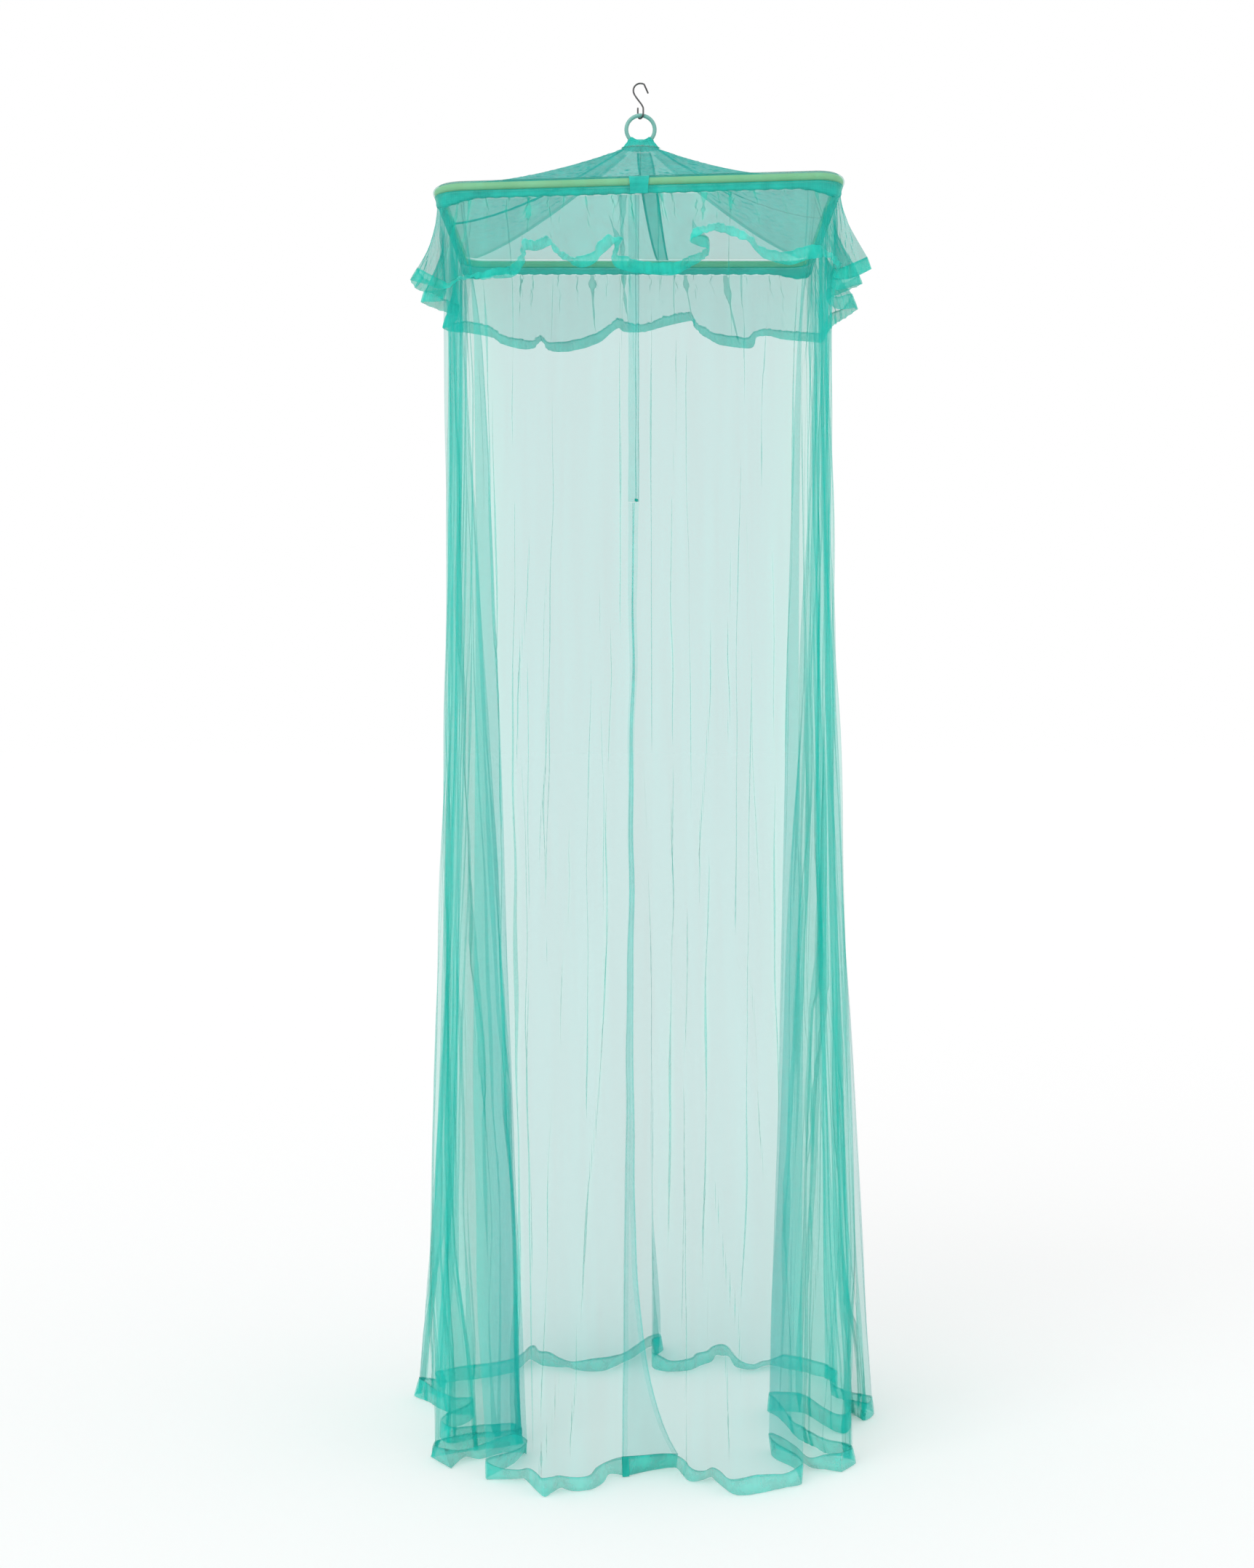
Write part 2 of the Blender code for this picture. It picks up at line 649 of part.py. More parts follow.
def trim_ends(path):
    """Moves a path's ends along it, so that the next cloth has its seam's room."""
    first, second = Vector(path[0]), Vector(path[1])
    last, before = Vector(path[-1]), Vector(path[-2])
    path[0] = tuple(first + (second - first).normalized() * SEAM_GAP / 2)
    path[-1] = tuple(last + (before - last).normalized() * SEAM_GAP / 2)
    return path


def wall_path(name, row):
    """Plan path of a wall at a share of its height, from the casing (0) to the floor (1)."""
    side = SIDES.index(name.split("_")[0])
    lines = halfway_points(FOLD_LINES[name])
    door = max(0.0, row - TACK_SHARE) / (1 - TACK_SHARE)
    lower, upper = TUCK_EASE
    drawn = smooth_step(row / TUCK_TOP) * (1 - smooth_step((row - lower) / (upper - lower)))
    path = []
    for k, (share, inset, floor_x, floor_y) in enumerate(lines):
        (top_x, top_y), _ = perimeter(side, share, -CLOTH_SIDE_STEP - inset)
        out = abs(floor_x)
        beside = smooth_step((out - HANG_FROM[0]) / HANG_FROM[1]) * smooth_step((HANG_TO[0] - out) / HANG_TO[1])
        power = SPREAD_POWER - SPREAD_TO_RIGHT * floor_x + SPREAD_TO_REAR * floor_y + SIDE_HANG * beside
        inward = smooth_step((abs(top_x) - out * FRAME_HALF - INNER_FROM) / INNER_EASE)
        spread = mix(row**power, row**INNER_POWER, inward)
        tuck = CORNER_TUCK * drawn * smooth_step((abs(share) - CORNER_TUCK_FROM) / (1 - CORNER_TUCK_FROM))
        along = k / (len(lines) - 1)
        if name == "front_right":
            along = 1 - along
        pull = 0.0
        if side == 0:
            pull = smooth_step((along - DOOR_PULL_FROM) / (DOOR_PULL_TO - DOOR_PULL_FROM))
        share_down = mix(spread, door, pull)
        x = mix(top_x, floor_x * FRAME_HALF, share_down) - math.copysign(tuck, top_x)
        y = mix(top_y, floor_y * FRAME_HALF, share_down) - math.copysign(tuck, top_y)
        path.append((x, y))
    return trim_ends(path)


def wall_grid(name, rows):
    """Rows of a wall's points from the casing's band to the top of the floor hem."""
    grid = []
    for row in rows:
        level = CLOTH_TOP_Z - row * WALL_HEIGHT
        grid.append([(x, y, level + tilt(x, y) * (1 - row)) for x, y in wall_path(name, row)])
    return grid


def outward_normals(path):
    """Plan directions square to a path that goes round to the right, pointing out."""
    normals = []
    for k in range(len(path)):
        a = Vector(path[max(k - 1, 0)])
        b = Vector(path[min(k + 1, len(path) - 1)])
        along = (b - a).normalized()
        normals.append(Vector((along.y, -along.x)))
    return normals


def build_walls(net, hem):
    """The five wall cloths and the floor hem under each."""
    for name in FOLD_LINES:
        sheet(f"wall_{name}", wall_grid(name, WALL_ROWS), CLOTH, net)
        path = wall_path(name, 1.0)
        normals = outward_normals(path)
        top = [(x, y, WALL_FOOT_Z - CLOTH_GAP) for x, y in path]
        foot = []
        for k, (x, y) in enumerate(path):
            kick = FLOOR_HEM_KICK * math.sin(math.pi * k / (len(path) - 1))
            foot.append((x + normals[k].x * kick, y + normals[k].y * kick, FLOOR_Z))
        sheet(f"floor_hem_{name}", [top, foot], HEM_CLOTH, hem)


def door_edge_grid(name, rows, width, lap):
    """Rows of a band that laps a door cloth's leading edge, lap metres off its face."""
    grid = []
    for row in rows:
        path = wall_path(name, row)
        if name == "front_right":
            path.reverse()
        edge, inner = Vector(path[-1]), Vector(path[-2])
        along = (inner - edge).normalized()
        face = Vector((0, -1)) if name == "front_right" else Vector((0, 1))
        off = along.orthogonal().normalized()
        off = off if off.dot(face) > 0 else -off
        level = CLOTH_TOP_Z - row * WALL_HEIGHT
        level += tilt(edge.x, edge.y) * (1 - row)
        outer = edge + off * lap
        inner = outer + along * width
        grid.append([(outer.x, outer.y, level), (inner.x, inner.y, level)])
    return grid


def build_door(trim):
    """The door's doubled top seam, its bar tack, its two leading edges and the tab at the floor."""
    wall_y = -FRAME_HALF + CLOTH_SIDE_STEP
    seam_y = wall_y + DOOR_STEP + TRIM_LAP
    grid = []
    for z in (CLOTH_TOP_Z, TACK_Z):
        grid.append([(DOOR_SPLIT_X - DOOR_BAND, seam_y, z), (DOOR_SPLIT_X + DOOR_BAND, seam_y, z)])
    sheet("door_top_seam", grid, TRIM_CLOTH, trim)

    width, depth, height = TACK_SIZE
    work = bmesh.new()
    bmesh.ops.create_cube(work, size=1.0)
    bmesh.ops.scale(work, verts=work.verts, vec=(width, depth, height))
    bmesh.ops.bevel(work, geom=work.edges[:], offset=depth * TACK_ROUNDING, segments=2, affect="EDGES")
    mesh = bpy.data.meshes.new("bar_tack")
    work.to_mesh(mesh)
    work.free()
    tack = add_object("bar_tack", mesh, trim)
    tack.location = (
        DOOR_SPLIT_X + DOOR_BAND / 2,
        wall_y - DOOR_STEP - (CLOTH + depth) / 2 - SEAT_GAP,
        TACK_Z + height / 2,
    )

    rows = [row for row in WALL_ROWS if row >= TACK_SHARE]
    for name in ("left", "right"):
        grid = door_edge_grid(f"front_{name}", rows, DOOR_BAND, TRIM_LAP)
        grid[0] = [(x, y, z - TACK_CLEARANCE) for x, y, z in grid[0]]
        grid[-1] = [(x, y, z + CLOTH_GAP) for x, y, z in grid[-1]]
        edge = sheet(f"{name}_door_edge", grid, TRIM_CLOTH, trim)
        set_origin(edge, (DOOR_SPLIT_X, 0, TACK_Z))

    lap = (HEM_CLOTH + TRIM_CLOTH) / 2 + CLOTH_GAP + HEM_TAB_ROOM
    (outer, inner) = door_edge_grid("front_right", (1.0,), HEM_TAB_WIDTH, lap)[0]
    foot = FLOOR_Z + CLOTH_GAP
    top = WALL_FOOT_Z
    grid = [[(x, y, z) for x, y, _ in (outer, inner)] for z in (top, foot)]
    tab = sheet("door_hem_tab", grid, TRIM_CLOTH, trim)
    set_origin(tab, (DOOR_SPLIT_X, 0, TACK_Z))


def set_origin(obj, place):
    """Puts an object's origin on its hinge, with its mesh where it was."""
    obj.data.transform(Matrix.Translation(-Vector(place)))
    obj.location = place


def build():
    for obj in list(bpy.data.objects):
        bpy.data.objects.remove(obj, do_unlink=True)
    steel = make_material("dark_steel", (0.06, 0.06, 0.06), 0.35, metallic=1.0)
    ring = make_material("teal_plastic", (0.22, 0.46, 0.41), 0.3)
    lime = make_material("lime_plastic", (0.42, 0.70, 0.27), 0.4)
    net = make_material("net_cloth", (0.03, 0.48, 0.37), 0.8, alpha=0.3)
    hem = make_material("net_hem", (0.01, 0.42, 0.33), 0.8, alpha=0.7)
    trim = make_material("net_trim", (0.01, 0.38, 0.30), 0.8, alpha=0.8)

    build_hook(steel)
    torus("hanging_ring", RING_SECTION_RADIUS, ring)
    build_cuff(trim)
    build_roof(net, trim)
    build_frame(lime)
    build_casing(hem, trim)
    build_frill(net, hem)
    build_walls(net, hem)
    build_door(trim)
    for obj in bpy.data.objects:
        if obj.name not in ("s_hook", "hanging_ring", "ring_cuff", "cuff_channel"):
            obj.location.x += FRAME_SHIFT


build()
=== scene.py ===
"""Looks of the square mosquito net: fine cloth, hems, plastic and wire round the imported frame.

Metres, +Z up, in the frame's own axes. The net's shape follows the same sizes as the part.
"""

import math

import bpy
import numpy as np
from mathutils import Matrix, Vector


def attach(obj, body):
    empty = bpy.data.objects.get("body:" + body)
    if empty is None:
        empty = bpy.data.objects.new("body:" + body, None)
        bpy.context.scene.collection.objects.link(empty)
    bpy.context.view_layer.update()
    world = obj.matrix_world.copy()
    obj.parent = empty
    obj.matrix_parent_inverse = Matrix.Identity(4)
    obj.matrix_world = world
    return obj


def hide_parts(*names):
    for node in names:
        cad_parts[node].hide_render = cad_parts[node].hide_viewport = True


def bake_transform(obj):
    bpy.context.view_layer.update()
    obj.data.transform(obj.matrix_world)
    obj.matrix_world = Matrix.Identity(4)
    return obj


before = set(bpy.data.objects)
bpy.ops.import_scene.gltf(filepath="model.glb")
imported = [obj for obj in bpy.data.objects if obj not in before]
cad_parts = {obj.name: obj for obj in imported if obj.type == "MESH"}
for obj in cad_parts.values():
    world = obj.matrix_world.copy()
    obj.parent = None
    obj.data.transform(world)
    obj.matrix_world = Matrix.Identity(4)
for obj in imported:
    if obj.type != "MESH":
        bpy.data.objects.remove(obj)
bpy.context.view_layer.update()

# Sizes that the part is built from
WIRE_RADIUS = 0.0014
HOOK_HEIGHT = 0.0605
HOOK_MOUTH_RADIUS = 0.0118
HOOK_TIP_LEG = 0.0153
HOOK_TIP_BEND = math.radians(36)
HOOK_EYE_TURN = math.radians(-52)
HOOK_EYE_ROOM = 0.0006
HOOK_SHORT_LEG = 0.011
HOOK_LEG_PULLS = (0.45, 0.35)
RING_OUTER_DIAMETER = 0.053
RING_SECTION_RADIUS = 0.00325
CUFF_HEIGHT = 0.0142
CUFF_DROP = 0.031
CUFF_TOP_HALF = (0.019, 0.0075)
CUFF_FOOT_HALF = (0.031, 0.022)
CUFF_GATHER_DEPTH = 0.06
NECK_MARGIN = 0.002
ROOF_RISE = 0.119
ROOF_SAG_POWER = 1.45
STRAP_NECK_WIDTH = 0.034
STRAP_FOOT_WIDTH = 0.021
STRAP_NECK_X = 0.0085
STRAP_FOOT_X = 0.0455
TAPE_WIDTH = 0.008
FRAME_SIDE = 0.624
TUBE_RADIUS = 0.0065
CORNER_RADIUS = 0.040
BAND_FOOT = 0.0175
NEAR_SIDE_SLOPE = 0.0295
FRAME_SHIFT = -0.0042
TAB_TOP_WIDTH = 0.032
TAB_FOOT_WIDTH = 0.027
FRILL_LENGTH = 0.120
FRILL_HEM = 0.015
FLOOR_HEM = 0.030
TACK_HEIGHT = 1.4765
DOOR_SPLIT_X = -0.008
DOOR_BAND = 0.008
DOOR_STEP = 0.0010
DOOR_PULL_FROM = 0.6
DOOR_PULL_TO = 0.92
SPREAD_POWER = 1.42
SPREAD_TO_RIGHT = 0.20
SPREAD_TO_REAR = 0.35
CORNER_TUCK = 0.016
CORNER_TUCK_FROM = 0.6
TUCK_TOP = 0.12
TUCK_EASE = (0.2, 0.8)
SIDE_HANG = 0.8
HANG_FROM = (0.50, 0.15)
HANG_TO = (1.32, 0.12)
INNER_POWER = 0.85
INNER_FROM = 0.03
INNER_EASE = 0.04
HANG_HEIGHT = 2.193
SEAT_GAP = 0.0003
CLOTH_GAP = 0.0005
CLOTH = 0.0012
CLOTH_SIDE_STEP = 0.0019

# Forms that only this script has
HOOK_TOP_ANGLE = math.radians(60)
HOOK_MOUTH_END = math.radians(190)
HOOK_SHANK_WAY = (0.17, 0, -0.98)
HOOK_SHORT_LEG_BEND = 0.4
ROOF_FOLD = 0.010
CASING_RADIUS = 0.00841
BAND_HALF = 0.0025
CORNER_DROOP = 0.010
CORNER_DROOP_FROM = 0.80
DOOR_SWAY = 0.0022
DOOR_FLARE = {"front_left": 11.0, "front_right": 0.8}
RIGHT_HANG_LESS = 0.4
HOOK_TIP_STEPS = (1.0, 0.75, 0.5, 0.28, 0.12)
BAND_SHOULDER = (0.0012, 0.004)
BAND_ROUND = 0.0005
TAB_FOOT_OUT = 0.0014
TAB_BEND_OUT = 0.003
TAB_BEND_UP = -0.013
EDGE_LOOK = 0.08

# Derived places
RING_RADIUS = RING_OUTER_DIAMETER / 2 - RING_SECTION_RADIUS
HOOK_EYE_RADIUS = RING_SECTION_RADIUS / math.sin(HOOK_EYE_TURN) ** 2 + WIRE_RADIUS + HOOK_EYE_ROOM
HOOK_FOOT_Z = 3 * WIRE_RADIUS - HOOK_HEIGHT
RING_CENTRE_Z = HOOK_FOOT_Z + WIRE_RADIUS + SEAT_GAP + RING_SECTION_RADIUS - RING_RADIUS
CUFF_FOOT_Z = RING_CENTRE_Z - CUFF_DROP
FRAME_HALF = FRAME_SIDE / 2 - TUBE_RADIUS
STRAIGHT_HALF = FRAME_HALF - CORNER_RADIUS
SIDE_HALF = STRAIGHT_HALF + CORNER_RADIUS * math.pi / 4
FRAME_Z = CUFF_FOOT_Z - SEAT_GAP - CLOTH - ROOF_RISE - CASING_RADIUS
CLOTH_TOP_Z = FRAME_Z - BAND_FOOT - CLOTH_GAP
FLOOR_Z = -HANG_HEIGHT
WALL_FOOT_Z = FLOOR_Z + FLOOR_HEM
TACK_Z = FLOOR_Z + TACK_HEIGHT
WALL_HEIGHT = CLOTH_TOP_Z - WALL_FOOT_Z
TACK_SHARE = (CLOTH_TOP_Z - TACK_Z) / WALL_HEIGHT
DOOR_SHARE = DOOR_SPLIT_X / SIDE_HALF

# The photograph's view: the camera's place, and its focal length, centre and horizon in pixels
CAMERA = np.array([-0.02225, -3.71, -1.055])
FOCAL = 3102.0
IMAGE_CENTRE_X = 862.0
HORIZON_Y = 998.0
IMAGE_HEIGHT = 2156

SIDES = ("front", "right", "rear", "left")
CORNERS = ("near_right", "far_right", "far_left", "near_left")

# Fold lines of each wall, going round to the right. Each runs from the casing (share of the half side
# from its middle, metres inside the casing's band) to the floor (x and y as shares of the frame's half).
FOLD_LINES = {
    "rear": (
        (-1, 0, 0.858, 1.106), (-0.86, 0.001, 0.773, 0.998), (-0.74, 0.003, 0.694, 0.93),
        (-0.62, 0.001, 0.609, 0.975), (-0.52, 0.004, 0.524, 1.283), (-0.42, 0.002, 0.445, 1.309),
        (-0.3, 0.003, 0.321, 0.962), (-0.18, 0.001, 0.196, 0.917), (-0.1, 0.004, 0.098, 0.982),
        (-0.06, 0.002, 0.079, 1.283), (0.02, 0.004, -0.026, 1.106), (0.2, 0.001, -0.196, 0.897),
        (0.32, 0.003, -0.308, 0.884), (0.44, 0.001, -0.412, 0.975), (0.62, 0.004, -0.589, 1.309),
        (0.82, 0.001, -0.736, 1.195), (1, 0, -0.858, 1.106),
    ),
    "left": (
        (-1, 0, -0.858, 1.106), (-0.85, 0.001, -1.031, 0.998), (-0.7, 0.004, -1.119, 0.818),
        (-0.52, 0.001, -1.054, 0.622), (-0.36, 0.005, -1.224, 0.409), (-0.2, 0.001, -1.129, 0.229),
        (-0.04, 0.005, -1.008, 0.065), (0.12, 0.001, -1.106, -0.131), (0.28, 0.003, -1.061, -0.278),
        (0.42, 0.006, -0.858, -0.229), (0.56, 0.012, -0.655, -0.196), (0.62, 0.014, -0.602, -0.268),
        (0.66, 0.01, -0.694, -0.347), (0.74, 0.004, -0.923, -0.399), (0.84, 0.001, -1.054, -0.517),
        (0.93, 0.001, -1.07, -0.661), (1, 0, -0.962, -0.825),
    ),
    "front_left": (
        (-1, 0, -0.962, -0.825), (-0.97, 0.002, -0.802, -0.759), (-0.93, 0.01, -0.628, -0.615),
        (-0.915, 0.012, -0.566, -0.668), (-0.9, 0.008, -0.602, -0.786), (-0.885, 0.002, -0.74, -0.884),
        (-0.865, 0, -0.789, -0.962), (-0.8, 0.002, -0.671, -1.008), (-0.64, 0.004, -0.54, -1.097),
        (-0.48, 0.001, -0.452, -1.218), (-0.34, 0.004, -0.327, -1.152), (-0.2, 0.001, -0.196, -1.074),
        (-0.11, 0, -0.072, -0.858), (-0.06, DOOR_STEP, 0.065, -0.727),
        (DOOR_SHARE, DOOR_STEP, 0.196, -0.694),
    ),
    "front_right": (
        (DOOR_SHARE, -DOOR_STEP, -0.085, -0.917), (0.02, -DOOR_STEP, 0.065, -0.805),
        (0.08, 0.002, 0.209, -0.786), (0.16, 0.001, 0.301, -1.002), (0.3, 0.004, 0.412, -1.113),
        (0.44, 0.001, 0.55, -1.205), (0.6, 0.004, 0.7, -1.067), (0.8, 0.001, 0.805, -0.982),
        (0.865, 0, 0.786, -0.877), (0.885, 0.004, 0.694, -0.7), (0.9, 0.01, 0.661, -0.543),
        (0.915, 0.012, 0.707, -0.491), (0.94, 0.006, 0.858, -0.759), (1, 0, 1.021, -0.877),
    ),
    "right": (
        (-1, 0, 1.021, -0.877), (-0.93, 0.001, 1.119, -0.7), (-0.84, 0.001, 1.093, -0.55),
        (-0.74, 0.004, 0.936, -0.399), (-0.66, 0.01, 0.773, -0.157), (-0.62, 0.014, 0.72, 0.02),
        (-0.56, 0.012, 0.805, 0.039), (-0.42, 0.006, 0.982, -0.19), (-0.28, 0.003, 1.133, -0.301),
        (-0.16, 0.001, 1.061, -0.157), (-0.02, 0.005, 1.152, -0.013), (0.1, 0.001, 1.27, 0.151),
        (0.26, 0.005, 1.133, 0.34), (0.42, 0.001, 1.067, 0.55), (0.58, 0.004, 1.146, 0.786),
        (0.8, 0.001, 1.041, 0.982), (1, 0, 0.858, 1.106),
    ),
}

# Hems of the front and rear frills in the photograph, left to right: each place where the hem bends has
# the pixel of its seam and the pixel of its lower edge.
FRONT_FRILL_HEM = (
    (574, 368, 564, 385), (593, 378, 589, 392), (611, 387, 605, 398), (618, 389, 617, 393),
    (634, 380, 634, 384), (648, 378, 648, 382), (659, 375, 659, 383), (682, 369, 682, 383),
    (703, 365, 705, 381), (712, 356, 715, 372), (716, 342, 722, 352), (721, 330, 723, 344),
    (734, 330, 736, 345), (750, 326, 747, 342), (756, 328, 757, 337), (765, 338, 763, 346),
    (770, 345, 768, 352), (787, 353, 784, 361), (797, 352, 798, 368), (814, 347, 816, 363),
    (823, 333, 824, 354), (836, 323, 839, 340), (847, 327, 845, 335), (856, 328, 844, 340),
    (850, 342, 842, 353), (848, 350, 845, 366), (862, 353, 862, 373), (880, 359, 882, 376),
    (900, 361, 903, 378), (919, 361, 922, 379), (937, 358, 936, 375), (952, 350, 956, 363),
    (969, 344, 972, 353), (974, 331, 973, 343), (963, 323, 960, 338), (950, 321, 950, 331),
    (960, 313, 960, 324), (974, 309, 975, 318), (990, 307, 991, 319), (1004, 311, 1005, 324),
    (1019, 317, 1017, 328), (1034, 326, 1032, 334), (1039, 334, 1042, 349), (1051, 341, 1055, 357),
    (1073, 346, 1075, 363), (1087, 345, 1090, 364), (1105, 339, 1110, 357), (1120, 337, 1124, 355),
    (1132, 341, 1133, 353), (1143, 350, 1141, 356), (1155, 360, 1150, 366), (1153, 369, 1147, 381),
    (1169, 363, 1170, 383), (1192, 353, 1198, 370),
)
REAR_FRILL_HEM = (
    (640, 441, 638, 457), (672, 448, 676, 464), (692, 461, 690, 473), (716, 466, 716, 480),
    (734, 468, 732, 479), (743, 460, 747, 469), (753, 470, 755, 482), (786, 468, 784, 483),
    (821, 457, 822, 472), (843, 442, 848, 452), (850, 437, 857, 456), (866, 444, 868, 457),
    (888, 445, 888, 456), (914, 435, 914, 449), (938, 430, 940, 443), (947, 429, 953, 442),
    (957, 442, 957, 453), (981, 457, 984, 472), (1010, 462, 1014, 478), (1028, 464, 1034, 478),
    (1037, 456, 1041, 464), (1053, 452, 1056, 462), (1072, 454, 1078, 467), (1112, 457, 1114, 470),
    (1128, 458, 1130, 472),
)

# Floor hems in the photograph: places where a hem bends, counted in fold lines of its wall, each with the
# pixel of its seam and the pixel of its lower edge.
FLOOR_HEMS = {
    "rear": (
        (0, 1077, 1862, 1080, 1882), (1, 1060, 1869, 1060, 1877), (1.5, 1046, 1872, 1047, 1879),
        (2, 1036, 1876, 1037, 1883), (2.6, 1022, 1873, 1022, 1882), (3, 1012, 1866, 1010, 1878),
        (3.5, 1002, 1853, 1003, 1866), (4, 992, 1848, 992, 1864), (4.5, 980, 1851, 984, 1864),
        (5, 972, 1857, 978, 1872), (5.6, 957, 1861, 962, 1878), (6, 950, 1867, 948, 1884),
        (7, 924, 1871, 922, 1886), (7.6, 906, 1863, 905, 1884), (8, 898, 1858, 897, 1879),
        (8.3, 897, 1842, 899, 1866), (8.6, 908, 1837, 911, 1857), (9, 905, 1834, 908, 1851),
        (9.4, 893, 1837, 893, 1852), (9.8, 882, 1844, 882, 1859), (10, 872, 1851, 868, 1868),
        (10.4, 858, 1860, 853, 1875), (11, 838, 1865, 833, 1884), (11.6, 815, 1868, 813, 1886),
        (12, 797, 1871, 795, 1884), (12.5, 785, 1872, 780, 1880), (13, 770, 1867, 768, 1880),
        (13.4, 755, 1859, 755, 1879), (13.8, 741, 1857, 744, 1877), (14, 735, 1850, 735, 1872),
        (14.3, 727, 1852, 727, 1870), (14.7, 719, 1860, 716, 1880), (15, 705, 1868, 705, 1887),
        (16, 675, 1874, 672, 1894),
    ),
    "left": (
        (0, 675, 1874, 672, 1894), (1, 640, 1878, 642, 1898), (2, 600, 1886, 603, 1902),
        (2.5, 606, 1893, 610, 1910), (3, 612, 1898, 606, 1922), (3.5, 590, 1895, 588, 1915),
        (4, 577, 1894, 570, 1919), (4.5, 588, 1903, 590, 1928), (5, 604, 1913, 607, 1938),
        (5.5, 624, 1921, 624, 1944), (6, 650, 1922, 651, 1947), (6.5, 636, 1934, 638, 1958),
        (7, 612, 1945, 610, 1969), (7.5, 607, 1955, 606, 1979), (8, 622, 1962, 622, 1984),
        (9, 655, 1960, 655, 1978), (10, 700, 1957, 700, 1975), (10.6, 712, 1960, 714, 1984),
        (11, 716, 1964, 718, 1984), (12, 695, 1967, 697, 1989), (13, 650, 1970, 652, 1994),
        (13.6, 625, 1974, 627, 1998), (14, 606, 1979, 600, 2003), (15, 598, 1984, 592, 2003),
        (15.5, 600, 1989, 605, 2010), (16, 612, 1992, 620, 2019),
    ),
    "front_left": (
        (0, 612, 1992, 620, 2019), (0.5, 632, 1994, 640, 2003), (1, 655, 1989, 660, 2006),
        (1.6, 690, 1976, 690, 1998), (2, 708, 1972, 711, 1997), (2.6, 721, 1977, 723, 1999),
        (3, 724, 1982, 719, 1999), (4, 712, 1992, 705, 2013), (4.6, 690, 1999, 690, 2021),
        (5.3, 672, 2004, 671, 2031), (6, 668, 2008, 669, 2034), (6.5, 676, 2014, 680, 2034),
        (7, 690, 2019, 700, 2034), (7.6, 712, 2021, 715, 2033), (8, 727, 2019, 722, 2034),
        (8.4, 738, 2026, 735, 2047), (8.8, 744, 2032, 748, 2058), (9.2, 757, 2031, 758, 2053),
        (9.6, 768, 2029, 771, 2046), (10, 785, 2031, 786, 2050), (10.4, 800, 2031, 801, 2050),
        (10.8, 813, 2027, 818, 2046), (11.2, 820, 2018, 830, 2038), (11.6, 832, 2011, 836, 2028),
        (12, 845, 2006, 846, 2027), (12.4, 860, 2003, 862, 2029), (13, 885, 2001, 885, 2024),
        (13.5, 910, 1999, 910, 2019), (14, 932, 1999, 930, 2018),
    ),
    "front_right": (
        (0, 855, 2003, 856, 2030), (1, 885, 2001, 884, 2024), (1.5, 908, 1999, 908, 2020),
        (2, 926, 2000, 928, 2018), (2.4, 940, 2007, 938, 2027), (2.7, 948, 2017, 945, 2035),
        (3, 958, 2022, 953, 2037), (3.3, 970, 2022, 965, 2035), (3.6, 980, 2018, 978, 2031),
        (3.9, 990, 2023, 985, 2037), (4.2, 999, 2032, 998, 2048), (4.6, 1010, 2034, 1010, 2055),
        (5, 1022, 2032, 1022, 2056), (5.4, 1040, 2028, 1040, 2054), (6, 1062, 2027, 1064, 2049),
        (6.5, 1080, 2026, 1082, 2045), (7, 1096, 2018, 1099, 2042), (7.4, 1104, 2010, 1101, 2038),
        (8, 1094, 1999, 1093, 2020), (9, 1068, 1984, 1066, 2006), (10, 1057, 1972, 1061, 1997),
        (11, 1066, 1972, 1070, 1993), (11.5, 1090, 1986, 1092, 2002), (12, 1112, 2004, 1114, 2017),
        (12.5, 1135, 2000, 1137, 2021), (13, 1156, 1998, 1157, 2024),
    ),
    "right": (
        (0, 1156, 1998, 1157, 2024), (0.5, 1172, 1991, 1176, 2012), (1, 1167, 1987, 1170, 2007),
        (1.6, 1160, 1984, 1160, 2004), (2.2, 1140, 1980, 1145, 2001), (3, 1118, 1970, 1122, 1991),
        (3.6, 1100, 1960, 1104, 1982), (4, 1085, 1948, 1090, 1971), (4.4, 1070, 1926, 1072, 1950),
        (5, 1058, 1915, 1055, 1940), (6, 1082, 1914, 1082, 1941), (6.5, 1106, 1918, 1107, 1944),
        (7, 1130, 1934, 1132, 1959), (7.5, 1150, 1944, 1150, 1969), (8, 1165, 1943, 1164, 1970),
        (8.5, 1169, 1935, 1170, 1958), (9, 1160, 1927, 1163, 1949), (9.5, 1165, 1925, 1170, 1943),
        (10, 1176, 1926, 1178, 1947), (10.6, 1192, 1929, 1189, 1953), (11, 1200, 1921, 1202, 1944),
        (11.4, 1192, 1918, 1190, 1938), (12, 1176, 1915, 1176, 1932), (12.5, 1160, 1911, 1162, 1926),
        (13, 1142, 1900, 1144, 1918), (14, 1150, 1885, 1150, 1904), (15, 1118, 1870, 1118, 1890),
        (16, 1077, 1862, 1080, 1882),
    ),
}
HEM_HOLD = 0.84

